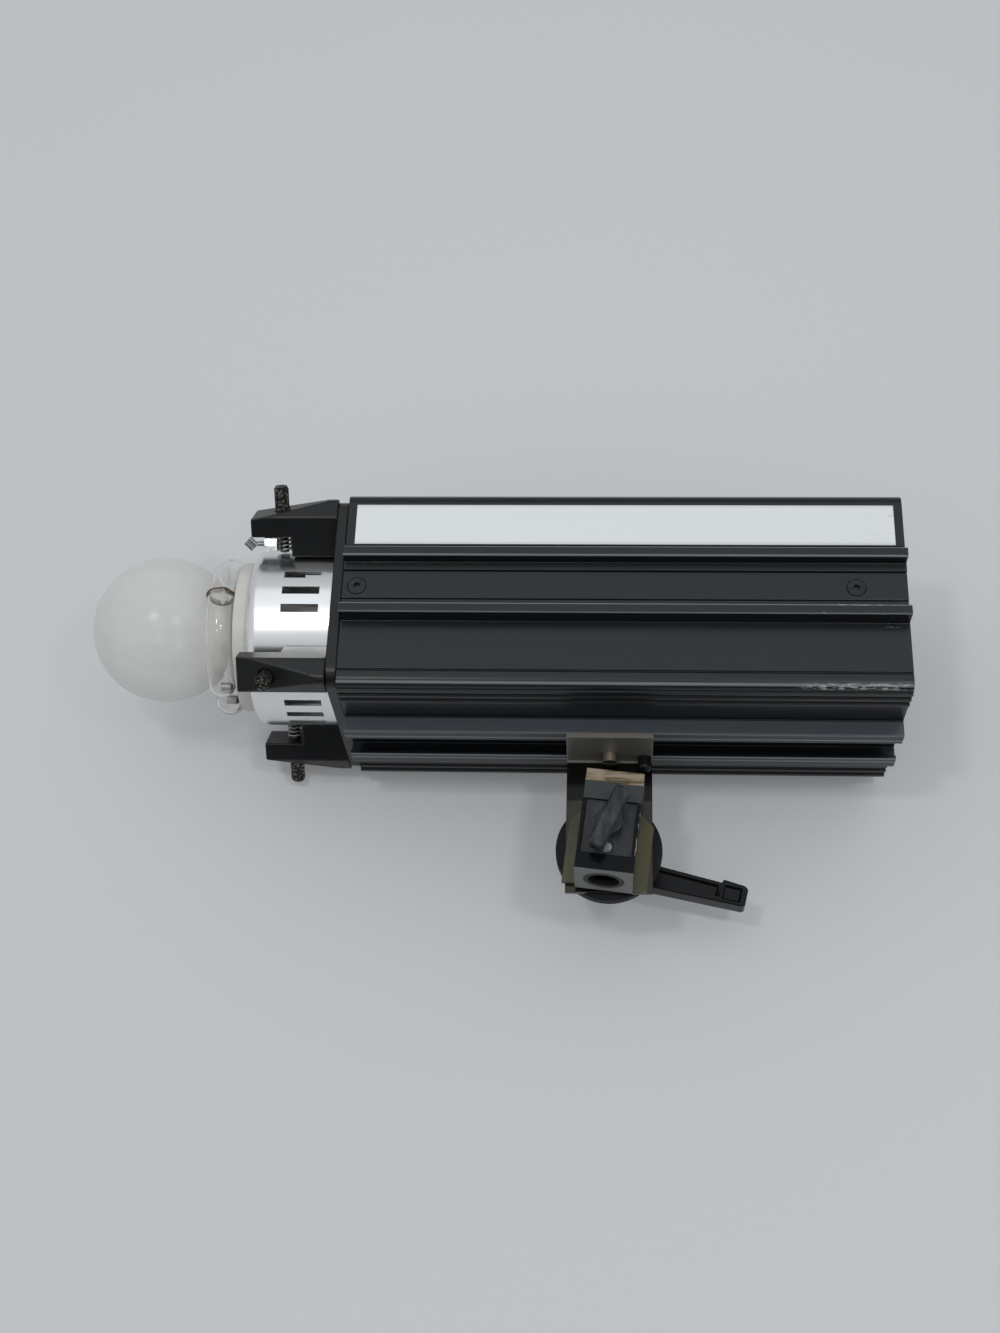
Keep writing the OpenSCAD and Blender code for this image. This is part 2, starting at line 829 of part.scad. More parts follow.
module tilt_lever() {
    hub_r = 12;
    arm_t = 11;
    root_h = 14.2;
    tip_h = 11;
    step_at = lever_reach - 14;
    step_h = 1.6;
    recess = 2.2;
    arm_y = hub_len - arm_t;
    border = 2.6;
    color("#141518") at_pivot() translate([0, hub_y, 0]) rotate([0, lever_droop, 0]) difference() {
        union() {
            rod_y(hub_r, hub_len);
            translate([0, arm_y, 0]) along_y(arm_t) polygon([
                [0, root_h / 2], [step_at, tip_h / 2 - 0.4], [step_at, tip_h / 2 + step_h],
                [lever_reach - 2, tip_h / 2 + step_h - 1], [lever_reach, tip_h / 2 - 1],
                [lever_reach, -tip_h / 2 + 1], [lever_reach - 1.5, -tip_h / 2], [0, -root_h / 2]
            ]);
        }
        translate([0, -1, 0]) rod_y(bolt_r + run_gap, hub_len - 3 + 1);
        for (face = [0, 1]) translate([0, face == 0 ? arm_y - 1 : hub_len - recess, 0]) along_y(recess + 1) {
            polygon([
                [hub_r + 4, root_h / 2 - border - 0.6], [step_at - 2, tip_h / 2 - border],
                [step_at - 2, -tip_h / 2 + border], [hub_r + 4, -root_h / 2 + border + 0.6]
            ]);
            translate([step_at + 1.5, -tip_h / 2 + border - 0.4])
                square([lever_reach - step_at - 5, tip_h - 2 * border + 1.4]);
        }
    }
}

// Inside
capacitor_first_x = 50;
capacitor_pitch = 51;
capacitor_gap = 1.2;
tray_t = 2;
floor_z = -half_h + wall;
tray_z = -boss_z + boss_r + slide_gap / 2;

module capacitor(i) {
    r = capacitor_d / 2;
    x = capacitor_first_x + r + (i > 2 ? capacitor_pitch : 0);
    y = (i % 2 == 1 ? -1 : 1) * (r + capacitor_gap / 2);
    z = tray_z + tray_t;
    terminal_r = 3;
    terminal_out = 10;
    color("#2c4a78") at_head() translate([x, y, z]) {
        cylinder(r = r, h = capacitor_h - 3);
        translate([0, 0, capacitor_h - 4]) cylinder(r = r - 2, h = 2);
        for (s = [-1, 1]) translate([s * terminal_out, 0, capacitor_h - 5]) cylinder(r = terminal_r, h = 5);
    }
}

module capacitor_1() { capacitor(1); }
module capacitor_2() { capacitor(2); }
module capacitor_3() { capacitor(3); }
module capacitor_4() { capacitor(4); }

module capacitor_tray() {
    len = capacitor_pitch + capacitor_d + 2;
    w = inner_w - 2 * fit_gap;
    color("#c8c2ae") at_head() translate([capacitor_first_x - 1, -w / 2, tray_z]) cube([len, w, tray_t]);
}

main_x = capacitor_first_x + capacitor_pitch + capacitor_d + 8;
main_len = 70;
main_z = 16;
main_w = inner_w - 16;

module main_board() {
    inset = 4;
    post_r = 2.5;
    transformer = [18, 24, 22];
    heat_sink = [22, 28, 16];
    small_r = 4;
    small_h = 14;
    small_pitch = 12;
    top = main_z + board_t;
    color("#2f6b3d") at_head() {
        translate([main_x, -main_w / 2, main_z]) cube([main_len, main_w, board_t]);
        for (x = [main_x + inset, main_x + main_len - inset], s = [-1, 1])
            translate([x, s * (main_w / 2 - inset), floor_z]) cylinder(r = post_r, h = main_z - floor_z);
        translate([main_x + 3 * inset, -main_w / 2 + 4 * inset, top]) cube(transformer);
        translate([main_x + main_len - heat_sink[0] - 2 * inset, main_w / 2 - heat_sink[1] - 3 * inset, top])
            cube(heat_sink);
        translate([main_x + 4 * inset, 3 * inset, top])
            for (i = [0 : 2]) translate([i % 2, floor(i / 2), 0] * small_pitch)
                cylinder(r = small_r, h = small_h);
    }
}

module inductor() {
    core_w = 50;
    core_len = 42;
    core_h = 44;
    coil_out = 8;
    leg = 9;
    color("#7a5a3a") at_head() translate([main_x + (main_len - core_len) / 2, 0, floor_z]) {
        translate([0, -core_w / 2, 0]) cube([core_len, core_w, core_h]);
        translate([-coil_out, -core_w / 2 + leg, leg])
            cube([core_len + 2 * coil_out, core_w - 2 * leg, core_h - 2 * leg]);
    }
}

module trigger_coil() {
    foot_len = 26;
    foot_w = 28;
    foot_t = 4;
    coil_r = 10;
    coil_h = 26;
    from_front = 10;
    color("#b06a2c") at_head() translate([from_front, foot_w / 2 - 2, floor_z]) {
        cube([foot_len, foot_w, foot_t]);
        translate([foot_len / 2, foot_w / 2, foot_t]) cylinder(r = coil_r, h = coil_h);
    }
}

// Cooling fan behind the rear panel
fan_y = -boss_y + boss_r + fan_size / 2;
fan_z = half_h - wall - fan_size / 2 - 4;
fan_hole_r = fan_size / 2 - 2;
fan_hub_r = 12;
fan_axle_r = 1.5;
fan_plate_t = 2;

module at_fan() {
    at_head() translate([panel_x - fan_t, fan_y, fan_z]) children();
}

module fan_housing() {
    strut_w = 4;
    color("#202124") at_fan() {
        difference() {
            along_x(fan_t) rounded(fan_size, fan_size, 4);
            translate([-1, 0, 0]) rod_x(fan_hole_r, fan_t + 2);
        }
        difference() {
            union() {
                bar_x(0, fan_plate_t, 0, 0, fan_size - 2, strut_w);
                bar_x(0, fan_plate_t, 0, 0, strut_w, fan_size - 2);
                rod_x(fan_hub_r, fan_plate_t);
            }
            translate([-1, 0, 0]) rod_x(fan_axle_r + run_gap, fan_plate_t + 2);
        }
    }
}

module fan_rotor() {
    blades = 7;
    blade_t = 1.6;
    blade_slant = 0.5;
    blade_out = fan_hole_r - 1.5;
    depth = fan_t - fan_plate_t - 3;
    color("#2b2d31") at_fan() {
        translate([fan_plate_t + 0.6, 0, 0]) rod_x(fan_hub_r - 0.5, depth);
        translate([0.4, 0, 0]) rod_x(fan_axle_r, fan_plate_t + 1);
        for (i = [0 : blades - 1]) rotate([360 * i / blades, 0, 0])
            translate([fan_plate_t + 1.6, fan_hub_r - 1.5, 0])
                multmatrix([[1, 0, 0, 0], [0, 1, 0, 0], [blade_slant, 0, 1, 0], [0, 0, 0, 1]])
                    cube([depth - 3, blade_out - fan_hub_r, blade_t]);
    }
}

// Rear panel and what it carries
panel_face = panel_x + panel_t;
pot_w = 8;
pot_border = 1;
control_gap = 1.5;
slider_pitch = 20;
slider_first = fan_y + fan_size / 2 + control_gap + (pot_w + pot_border) / 2;
slider_y = [slider_first, slider_first + slider_pitch];
slider_z = half_h - wall - slot_len / 2 - 11.5;
slot_w = 4;
low_row_z = -half_h + wall + 17.5;
mid_row_z = low_row_z + 21;
inlet_y = -33;
inlet_w = 27;
inlet_h = 19.8;
switch_y = -2;
switch_w = 13;
switch_h = 19.2;
rocker_axle_r = 1.5;
rocker_back = 5;
fuse_y = 19;
fuse_r = 6.2;
jack_y = 40;
jack_r = 3.2;
jack_out_r = 5.6;
button_y = slider_y[0];
button_r = 5;
lamp_y = slider_y[1];
lamp_r = 3;
cell_y = -40;
cell_r = 6;

module at_panel(y, z) {
    at_head() translate([panel_face, y, z]) children();
}

module panel_hole(y, z, r) {
    translate([panel_x - 1, y, z]) rod_x(r, panel_t + 2);
}

module rear_panel() {
    bars = 9;
    pitch = 2 * fan_hole_r / bars;
    ear_t = 2;
    color("#1a1c1f") at_head() difference() {
        union() {
            translate([panel_x, 0, 0]) along_x(panel_t)
                square([inner_w - 2 * fit_gap, inner_h - 2 * fit_gap], center = true);
            for (s = [-1, 1]) bar_x(panel_face - rocker_back - 3, rocker_back + 2,
                switch_y + s * (switch_w + fit_gap + ear_t) / 2, low_row_z, ear_t, 8);
        }
        translate([panel_face - rocker_back, switch_y - switch_w, low_row_z])
            rod_y(rocker_axle_r + run_gap, 2 * switch_w);
        for (k = [0 : bars - 1]) let (z = (k - (bars - 1) / 2) * pitch,
            half = sqrt(max(1, pow(fan_hole_r - 1, 2) - z * z)))
            bar_x(panel_x - 1, panel_t + 2, fan_y, fan_z + z, 2 * half, pitch - 2.4);
        for (y = slider_y) bar_x(panel_x - 1, panel_t + 2, y, slider_z, slot_w, slot_len);
        bar_x(panel_x - 1, panel_t + 2, inlet_y, low_row_z, inlet_w + fit_gap, inlet_h + fit_gap);
        bar_x(panel_x - 1, panel_t + 2, switch_y, low_row_z, switch_w + fit_gap, switch_h + fit_gap);
        panel_hole(fuse_y, low_row_z, fuse_r + run_gap);
        panel_hole(jack_y, low_row_z, jack_out_r - 0.8);
        panel_hole(button_y, mid_row_z, button_r + run_gap);
        panel_hole(lamp_y, mid_row_z, lamp_r + 0.05);
        panel_hole(cell_y, mid_row_z, cell_r + 0.05);
        for (sy = [-1, 1], sz = [-1, 1]) panel_hole(sy * boss_y, sz * boss_z, boss_hole_r);
    }
}

module panel_screws() {
    head_r = 2.2;
    head_t = 1.4;
    color("#8b8e92") for (sy = [-1, 1], sz = [-1, 1]) at_panel(sy * boss_y, sz * boss_z) difference() {
        union() {
            rod_x(head_r, head_t);
            translate([-panel_t - 8, 0, 0]) rod_x(boss_hole_r - 0.02, panel_t + 8 + head_t / 2);
        }
        bar_x(head_t - 0.6, 2, 0, 0, 3, 0.7);
        bar_x(head_t - 0.6, 2, 0, 0, 0.7, 3);
    }
}

module power_inlet() {
    depth = 22;
    socket_w = 22.4;
    socket_h = 14.6;
    inlet_depth = 15;
    pin_w = 2;
    pin_h = 4;
    color("#101113") at_panel(inlet_y, low_row_z) {
        difference() {
            union() {
                translate([-depth, 0, 0]) along_x(depth) square([inlet_w, inlet_h], center = true);
                along_x(2) rounded(inlet_w + 5, inlet_h + 4, 2);
            }
            translate([2 - inlet_depth, 0, 0]) along_x(inlet_depth + 1)
                square([socket_w, socket_h], center = true);
        }
        for (p = [[-7, -2.6], [0, 0.7], [7, -2.6]])
            bar_x(1 - inlet_depth, inlet_depth - 4, p[0], p[1], pin_w, pin_h);
    }
}

module power_switch() {
    tilt = 10;
    key_w = switch_w - 0.4;
    key_h = switch_h - 2.4;
    rise = 3;
    axle_len = switch_w + fit_gap + 3.6;
    color("#151618") at_panel(switch_y, low_row_z) translate([-rocker_back, 0, 0]) rotate([0, tilt, 0]) {
        translate([0, key_w / 2, 0]) rotate([90, 0, 0]) linear_extrude(key_w) polygon([
            [-2.5, -3], [rocker_back, -key_h / 2], [rocker_back + rise, -key_h / 2],
            [rocker_back + rise - 1.6, 0], [rocker_back + rise, key_h / 2], [rocker_back, key_h / 2],
            [-2.5, 3]
        ]);
        translate([0, -axle_len / 2, 0]) rod_y(rocker_axle_r, axle_len);
    }
}

module slider(y, up) {
    travel = slot_len - 8;
    color("#d8d9da") at_panel(y, slider_z - travel / 2 + up * travel) {
        bar_x(-panel_t - 3, panel_t + 8, 0, 0, slot_w - 2 * slide_gap, 3);
        bar_x(1, 8, 0, 0, 9, 6);
    }
}

module flash_slider() { slider(slider_y[0], 0); }
module lamp_slider() { slider(slider_y[1], 0); }

module test_button() {
    color("#a03028") at_panel(button_y, mid_row_z) translate([-panel_t - slide_gap - 1, 0, 0]) {
        rod_x(button_r, panel_t + 5);
        rod_x(button_r + 1.5, 1);
    }
}

module sync_jack() {
    color("#b5b8bb") at_panel(jack_y, low_row_z) difference() {
        union() {
            translate([-14, 0, 0]) rod_x(jack_out_r - 0.85, 14.5);
            rod_x(jack_out_r + 1.4, 2.6);
        }
        translate([-12, 0, 0]) rod_x(jack_r, 20);
    }
}

module photocell() {
    sink = 2;
    color("#7a1d1a") at_panel(cell_y, mid_row_z)
        translate([-panel_t, 0, 0]) rotate([0, 90, 0]) rotate_extrude() {
            square([cell_r, panel_t]);
            translate([0, panel_t]) intersection() {
                translate([0, -sink]) circle(cell_r);
                square(cell_r);
            }
        }
}

module ready_lamp() {
    color("#c23a2e") at_panel(lamp_y, mid_row_z) {
        translate([-panel_t - 2, 0, 0]) rod_x(lamp_r, panel_t + 3);
        translate([1, 0, 0]) sphere(lamp_r - 0.2);
    }
}

module fuse_cap() {
    holder_len = 30;
    rim = 1.8;
    cap_t = 6;
    slot_len = 9;
    slot_t = 1.4;
    color("#111214") at_panel(fuse_y, low_row_z) difference() {
        union() {
            translate([-holder_len, 0, 0]) rod_x(fuse_r, holder_len + cap_t / 2);
            translate([fit_gap, 0, 0]) rod_x(fuse_r + rim, cap_t);
        }
        bar_x(cap_t - 1, cap_t, 0, 0, slot_len, slot_t);
    }
}

module control_board() {
    standoff = 8;
    post_r = 2;
    pot_t = 4;
    margin = 5;
    x = panel_x - standoff - board_t;
    high = slider_z + slot_len / 2 + margin;
    low = mid_row_z - margin;
    w = slider_pitch + pot_w + pot_border;
    y = slider_first + slider_pitch / 2;
    color("#2f6b3d") at_head() {
        bar_x(x, board_t, y, (high + low) / 2, w, high - low);
        for (sy = slider_y) bar_x(x, board_t + pot_t, sy, slider_z, pot_w, slot_len + 2);
        for (p = [[y, low + margin], [y, high - post_r]])
            translate([x, p[0], p[1]]) rod_x(post_r, standoff + board_t);
    }
}

adapter_block();
adapter_cap();
adapter_backplate();
socket_bushing();
grub_screw();
lock_knob();
tilt_bracket();
friction_disc();
tilt_bolt();
clamp_nut();
stop_pin();
clamp_screw();
tilt_lever();
upper_shell();
lower_shell();
label_near();
label_far();
shell_screws();
front_bezel();
finger_1();
finger_2();
finger_3();
finger_4();
thumbscrew_1();
thumbscrew_2();
thumbscrew_3();
thumbscrew_4();
finger_springs();
catch_body();
catch_pin();
collar();
tube_base();
flash_tube();
tube_pins();
lamp_socket();
lamp_cap();
lamp_globe();
capacitor_1();
capacitor_2();
capacitor_3();
capacitor_4();
capacitor_tray();
main_board();
control_board();
inductor();
trigger_coil();
fan_housing();
fan_rotor();
rear_panel();
panel_screws();
power_inlet();
power_switch();
flash_slider();
lamp_slider();
test_button();
sync_jack();
photocell();
ready_lamp();
fuse_cap();
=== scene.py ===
import json
import math
import bmesh
import bpy
import numpy as np
from mathutils import Matrix, Vector


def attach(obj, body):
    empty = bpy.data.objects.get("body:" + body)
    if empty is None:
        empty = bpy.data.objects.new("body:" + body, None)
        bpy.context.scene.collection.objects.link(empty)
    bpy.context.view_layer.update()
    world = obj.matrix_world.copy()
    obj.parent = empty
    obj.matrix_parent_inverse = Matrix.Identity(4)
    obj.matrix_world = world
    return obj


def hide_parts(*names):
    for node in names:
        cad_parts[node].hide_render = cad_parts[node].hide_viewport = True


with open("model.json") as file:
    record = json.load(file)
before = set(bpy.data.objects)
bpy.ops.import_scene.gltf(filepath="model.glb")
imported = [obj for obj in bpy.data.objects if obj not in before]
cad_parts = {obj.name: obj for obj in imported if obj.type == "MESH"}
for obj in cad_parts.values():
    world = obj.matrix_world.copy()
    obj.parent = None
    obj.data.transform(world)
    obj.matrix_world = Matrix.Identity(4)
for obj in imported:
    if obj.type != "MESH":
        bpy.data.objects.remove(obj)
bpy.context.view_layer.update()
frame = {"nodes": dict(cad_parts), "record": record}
nodes = frame["nodes"]
bodyOf = {n: b for b, members in frame["record"]["behaviour"]["bodies"].items() for n in members}
mm = 0.001

# Places on the strobe, in millimetres: the head's axis at the front of the shells, and the adapter's lean
head = np.array([-137.322, 9.5, 142.655])
lean = math.radians(6.2)


def inHead(points):
    # millimetres in the head's frame to metres in the shared frame
    return (np.asarray(points, float) + head) * mm


# Shader tools
class Signal:
    # a number that varies over a surface; each operator adds the Math node that does it
    def __init__(self, owner, socket):
        self.owner, self.socket = owner, socket

    def math(self, operation, first, second=0.0):
        return self.owner.add("ShaderNodeMath", {"operation": operation}, {0: first, 1: second})

    def __add__(self, other): return self.math("ADD", self, other)
    def __radd__(self, other): return self.math("ADD", other, self)
    def __sub__(self, other): return self.math("SUBTRACT", self, other)
    def __rsub__(self, other): return self.math("SUBTRACT", other, self)
    def __mul__(self, other): return self.math("MULTIPLY", self, other)
    def __rmul__(self, other): return self.math("MULTIPLY", other, self)
    def __truediv__(self, other): return self.math("DIVIDE", self, other)
    def __pow__(self, other): return self.math("POWER", self, other)
    def absolute(self): return self.math("ABSOLUTE", self)
    def root(self): return self.math("SQRT", self)
    def sine(self): return self.math("SINE", self)
    def smaller(self, other): return self.math("MINIMUM", self, other)
    def larger(self, other): return self.math("MAXIMUM", self, other)

    def step(self, low, high):
        # rises smoothly from 0 at low to 1 at high
        smooth = {"interpolation_type": "SMOOTHSTEP"}
        return self.owner.add("ShaderNodeMapRange", smooth, {0: self, 1: low, 2: high})

    def between(self, low, high, soft):
        # 1 from low to high, fading over the soft distance outside
        return self.step(low - soft, low) * (1.0 - self.step(high, high + soft))


class Nodes:
    # a node tree and the two calls that fill it
    def __init__(self, tree):
        self.tree = tree

    def join(self, value, socket):
        if isinstance(value, Signal):
            self.tree.links.new(value.socket, socket)
        else:
            socket.default_value = value

    def add(self, kind, settings=None, inputs=None, output=0):
        node = self.tree.nodes.new(kind)
        for key, value in (settings or {}).items():
            setattr(node, key, value)
        for key, value in (inputs or {}).items():
            self.join(value, node.inputs[key])
        return Signal(self, node.outputs[output])

    def split(self, vector):
        # the three numbers of a vector
        outs = self.add("ShaderNodeSeparateXYZ", inputs={0: vector}).socket.node.outputs
        return [Signal(self, outs[i]) for i in range(3)]


class Finish(Nodes):
    # one material: a Principled shader and the few nodes that feed it
    def __init__(self, name, colour, roughness, metallic=0.0, **constants):
        self.material = bpy.data.materials.new(name)
        self.material.use_nodes = True
        super().__init__(self.material.node_tree)
        self.shader = self.tree.nodes["Principled BSDF"]
        self.put("Base Color", (*colour, 1.0))
        self.put("Roughness", roughness)
        self.put("Metallic", metallic)
        for key, value in constants.items():
            self.put(key.replace("_", " "), value)
        self.where = None

    def put(self, name, value):
        self.join(value, self.shader.inputs[name])

    def place(self):
        # the surface point in metres, as a vector
        if self.where is None:
            self.where = self.add("ShaderNodeTexCoord", output="Object")
        return self.where

    def axes(self):
        # the surface point's three coordinates in the head's frame, in millimetres
        return [s / mm - float(head[i]) for i, s in enumerate(self.split(self.place()))]

    def leaning(self):
        # the surface point in the adapter's frame, in millimetres: turned back about Y by the lean
        x, y, z = [s / mm for s in self.split(self.place())]
        return x * math.cos(lean) - z * math.sin(lean), y, x * math.sin(lean) + z * math.cos(lean)

    def noise(self, scale, stretch=(1, 1, 1), detail=3.0, roughness=0.55, offset=(0, 0, 0)):
        spot = self.add("ShaderNodeMapping", inputs={
            "Vector": self.place(), "Scale": stretch, "Location": offset})
        return self.add("ShaderNodeTexNoise", inputs={
            "Vector": spot, "Scale": scale, "Detail": detail, "Roughness": roughness})

    def cells(self, scale):
        # the distance to the nearest of many scattered points
        return self.add("ShaderNodeTexVoronoi", inputs={"Vector": self.place(), "Scale": scale})

    def mix(self, amount, first, second):
        colours = [c if isinstance(c, Signal) else (*c, 1.0) for c in (first, second)]
        return self.add("ShaderNodeMix", {"data_type": "RGBA"},
                        {0: amount, 6: colours[0], 7: colours[1]}, output=2)

    def bump(self, height, depth, strength):
        # depth is the relief in millimetres
        self.put("Normal", self.add("ShaderNodeBump", inputs={
            "Height": height, "Distance": depth * mm, "Strength": strength}))


# Mesh tools

# points closer than a weld, in metres, become one; the angles are in degrees
meshRules = dict(weld=1e-7, cadWeld=2e-6, sharp=40.0, level=0.4, bevelFrom=32.0, bevelSteps=2)


def meshPiece(name, points, faces, body, finish, smooth=True):
    # points in metres in the shared frame, faces as an index array of quads
    mesh = bpy.data.meshes.new(name)
    points = np.asarray(points, float).reshape(-1, 3)
    faces = np.asarray(faces, int)
    mesh.vertices.add(len(points))
    mesh.vertices.foreach_set("co", points.ravel())
    mesh.loops.add(faces.size)
    mesh.loops.foreach_set("vertex_index", faces.ravel())
    mesh.polygons.add(len(faces))
    mesh.polygons.foreach_set("loop_start", np.arange(0, faces.size, faces.shape[1]))
    mesh.update(calc_edges=True)
    mesh.validate()
    tidyMesh(mesh)
    if smooth:
        mesh.shade_smooth()
        mesh.set_sharp_from_angle(angle=math.radians(meshRules["sharp"]))
    piece = bpy.data.objects.new(name, mesh)
    bpy.context.scene.collection.objects.link(piece)
    mesh.materials.append(finish.material)
    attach(piece, body)
    return piece


def tidyMesh(mesh):
    # joins the seams and poles and turns the faces outwards
    work = bmesh.new()
    work.from_mesh(mesh)
    bmesh.ops.remove_doubles(work, verts=work.verts, dist=meshRules["weld"])
    bmesh.ops.recalc_face_normals(work, faces=work.faces)
    work.to_mesh(mesh)
    work.free()


def gridFaces(rows, columns):
    # quads of a rows by columns grid of points, whose last column meets its first
    r, c = np.meshgrid(np.arange(rows - 1), np.arange(columns), indexing="ij")
    r2, c2 = r + 1, (c + 1) % columns
    corners = [r * columns + c, r * columns + c2, r2 * columns + c2, r2 * columns + c]
    return np.stack(corners, -1).reshape(-1, 4)


def stack(parts):
    # several (points, faces) sets as one
    points, faces, count = [], [], 0
    for p, f in parts:
        p = np.asarray(p, float).reshape(-1, 3)
        points.append(p)
        faces.append(np.asarray(f, int) + count)
        count += len(p)
    return np.concatenate(points), np.concatenate(faces)


def turned(profile, steps, centre):
    # a profile of (along, radius) pairs turned round the lamp's axis through centre
    along, radius = np.asarray(profile, float).T
    angle = np.linspace(0, 2 * np.pi, steps, endpoint=False)
    a, t = np.meshgrid(along, angle, indexing="ij")
    r = np.repeat(radius[:, None], steps, 1)
    points = np.stack([a, r * np.cos(t), r * np.sin(t)], -1)
    return points + np.asarray(centre, float), gridFaces(len(along), steps)


def sweep(path, radius, sides):
    # a round tube along a path: each ring stands square to the path's direction there
    path = np.asarray(path, float)
    ahead = np.gradient(path, axis=0)
    ahead /= np.linalg.norm(ahead, axis=1, keepdims=True)
    guide = np.array([0.31, 0.52, 0.79])  # a direction that no path here runs along
    side = np.cross(ahead, guide)
    side /= np.linalg.norm(side, axis=1, keepdims=True)
    up = np.cross(ahead, side)
    t = np.linspace(0, 2 * np.pi, sides, endpoint=False)
    size = np.broadcast_to(np.asarray(radius, float), (len(path),))[:, None, None]
    ring = side[:, None] * np.cos(t)[None, :, None] + up[:, None] * np.sin(t)[None, :, None]
    return path[:, None] + ring * size, gridFaces(len(path), sides)


def dressed(node, finish, bevel=0.0, flat=25.0):
    # a merged copy of a CAD piece with its edges broken, which stands for that piece
    rules = meshRules
    mesh = nodes[node].data.copy()
    mesh.materials.clear()
    work = bmesh.new()
    work.from_mesh(mesh)
    bmesh.ops.remove_doubles(work, verts=work.verts, dist=rules["cadWeld"])
    level = math.radians(rules["level"])
    bmesh.ops.dissolve_limit(work, angle_limit=level, verts=work.verts, edges=work.edges)
    work.to_mesh(mesh)
    work.free()
    mesh.shade_smooth()
    mesh.set_sharp_from_angle(angle=math.radians(flat))
    words = node.split("_")
    piece = bpy.data.objects.new(words[0] + "".join(w.capitalize() for w in words[1:]), mesh)
    bpy.context.scene.collection.objects.link(piece)
    mesh.materials.append(finish.material)
    if bevel:
        edge = piece.modifiers.new("edges", "BEVEL")
        edge.width, edge.segments = bevel * mm, rules["bevelSteps"]
        edge.limit_method, edge.angle_limit = "ANGLE", math.radians(rules["bevelFrom"])
        edge.use_clamp_overlap = False
        edge.harden_normals = True
    flatter = piece.modifiers.new("normals", "WEIGHTED_NORMAL")  # large faces stay flat beside small ones
    flatter.keep_sharp = True
    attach(piece, bodyOf[node])
    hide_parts(node)


def paint(finish, *names):
    for name in names:
        slots = nodes[name].data.materials
        slots.clear()
        slots.append(finish.material)


# Finishes

# A look holds a finish's colours, shares from 0 to 1 of what lies over them, and its relief in millimetres.
# Places and widths on the housing are in millimetres in the head's frame.
# places where the black is rubbed off: out from the middle, height, start, end, width, amount
rubbedEdges = [
    (68.0, -13.8, 234, 292, 1.1, 0.12),
    (68.0, -19.4, 236, 292, 0.8, 0.05),
    (57.6, -55.9, 232, 292, 2.8, 0.14),
    (68.0, 19.4, 250, 292, 0.8, 0.04),
    (59.4, 56.2, 272, 292, 1.2, 0.02),
    (58.2, -22.0, 262, 292, 0.8, 0.02),
]
# outer edges given a painted highlight, a pale line along each: out from the middle, height, width
highlightEdges = [
    (68.0, 19.6, 1.0), (68.0, 13.8, 1.1), (68.0, -13.8, 1.2), (68.0, -19.6, 0.7), (59.0, 55.0, 1.0),
    (20.0, -65.5, 1.2), (13.7, -65.5, 0.9), (10.0, -65.5, 0.9), (58.0, -55.0, 1.5),
]
# the rails' outer sides, which get painted light, in millimetres from the middle and up from it
litRailSides = dict(inner=19.5, outer=24.0, soft=0.3, below=-57.2)


def edgeDistance(y, z, out, up):
    # how far a point of the housing lies from an edge that runs along it
    return ((y.absolute() - out) ** 2 + (z - up) ** 2).root()


def blackAnodised(look=dict(
        dark=(0.0030, 0.0045, 0.0062), light=(0.0065, 0.0090, 0.0116), roughness=0.24, gloss=0.46,
        speck=(0.12, 0.125, 0.13), specks=0.3, dust=0.58, scratch=(0.15, 0.15, 0.15), scratches=0.3,
        bare=(0.50, 0.51, 0.51), edge=(0.24, 0.26, 0.28), rail=(0.072, 0.083, 0.097), rails=0.8,
        relief=0.010)):
    # extruded aluminium dyed black: draw lines run along the housing, with dust, painted highlights along the
    # outer edges, painted light on the rails' outer sides and a few rubbed places
    f = Finish("blackAnodised", look["dark"], look["roughness"], 0.0, Specular_IOR_Level=look["gloss"])
    x, y, z = f.axes()
    draw = f.noise(900.0, (0.012, 1, 1), 2.0)
    cloud = f.noise(26.0, (0.4, 1, 1), 4.0)
    colour = f.mix(cloud, look["dark"], look["light"])
    speck = (1.0 - f.cells(420.0).step(0.05, 0.16)) * f.noise(70.0).step(look["dust"], look["dust"] + 0.12)
    colour = f.mix(speck * look["specks"], colour, look["speck"])
    worn = f.noise(14.0, offset=(3, 1, 2)).step(0.56, 0.62)
    scratch = f.noise(160.0, (1.0, 9.0, 9.0), 5.0, 0.7).step(0.66, 0.72) * worn
    colour = f.mix(scratch * look["scratches"], colour, look["scratch"])
    edgeSheen = None
    for out, up, width in highlightEdges:
        # painted highlight on an outer edge: paler within the width of that edge
        near = 1.0 - edgeDistance(y, z, out, up).step(width * 0.5, width)
        edgeSheen = near if edgeSheen is None else edgeSheen.larger(near)
    colour = f.mix(edgeSheen * (0.55 + draw * 0.4), colour, look["edge"])
    r = litRailSides
    # painted light: the rails' outer sides are made paler, standing in for the light on these faces
    side = (y.absolute() - r["inner"]).step(0.0, r["soft"]) * (r["outer"] - y.absolute()).step(0.0, r["soft"])
    side = side * z.step(r["below"], r["below"] - 0.6)
    colour = f.mix(side * look["rails"], colour, look["rail"])
    masks = []
    for out, up, start, end, width, much in rubbedEdges:
        # the rubbed strip follows one edge: its distance from that edge, and its reach along the housing
        near = edgeDistance(y, z, out, up)
        grain = f.noise(900.0, (0.25, 1, 1), 4.0, 0.7, (start * 0.01, 0, 0))
        along = x.step(start, start + 14) * (1.0 - x.step(end, end + 3))
        masks.append((1.0 - near.step(width * 0.4, width)) * along * y.step(0, -2)
                     * grain.step(0.62 - much, 0.70 - much))
    bare = masks[0]
    for mask in masks[1:]:
        bare = bare.larger(mask)
    f.put("Base Color", f.mix(bare, colour, look["bare"]))
    f.put("Metallic", bare * 0.35)
    f.put("Roughness", look["roughness"] + cloud * 0.10 + draw * 0.05 + speck * 0.2)
    f.bump(draw * 0.7 + f.noise(2600.0, detail=2.0) * 0.3, look["relief"], 0.45)
    return f


# colours of the scuffs and the chips in the enamel, the same on every casting, and the share of the chips
enamelWear = dict(scuffed=(0.09, 0.09, 0.092), chipped=(0.13, 0.13, 0.125), chips=0.5)


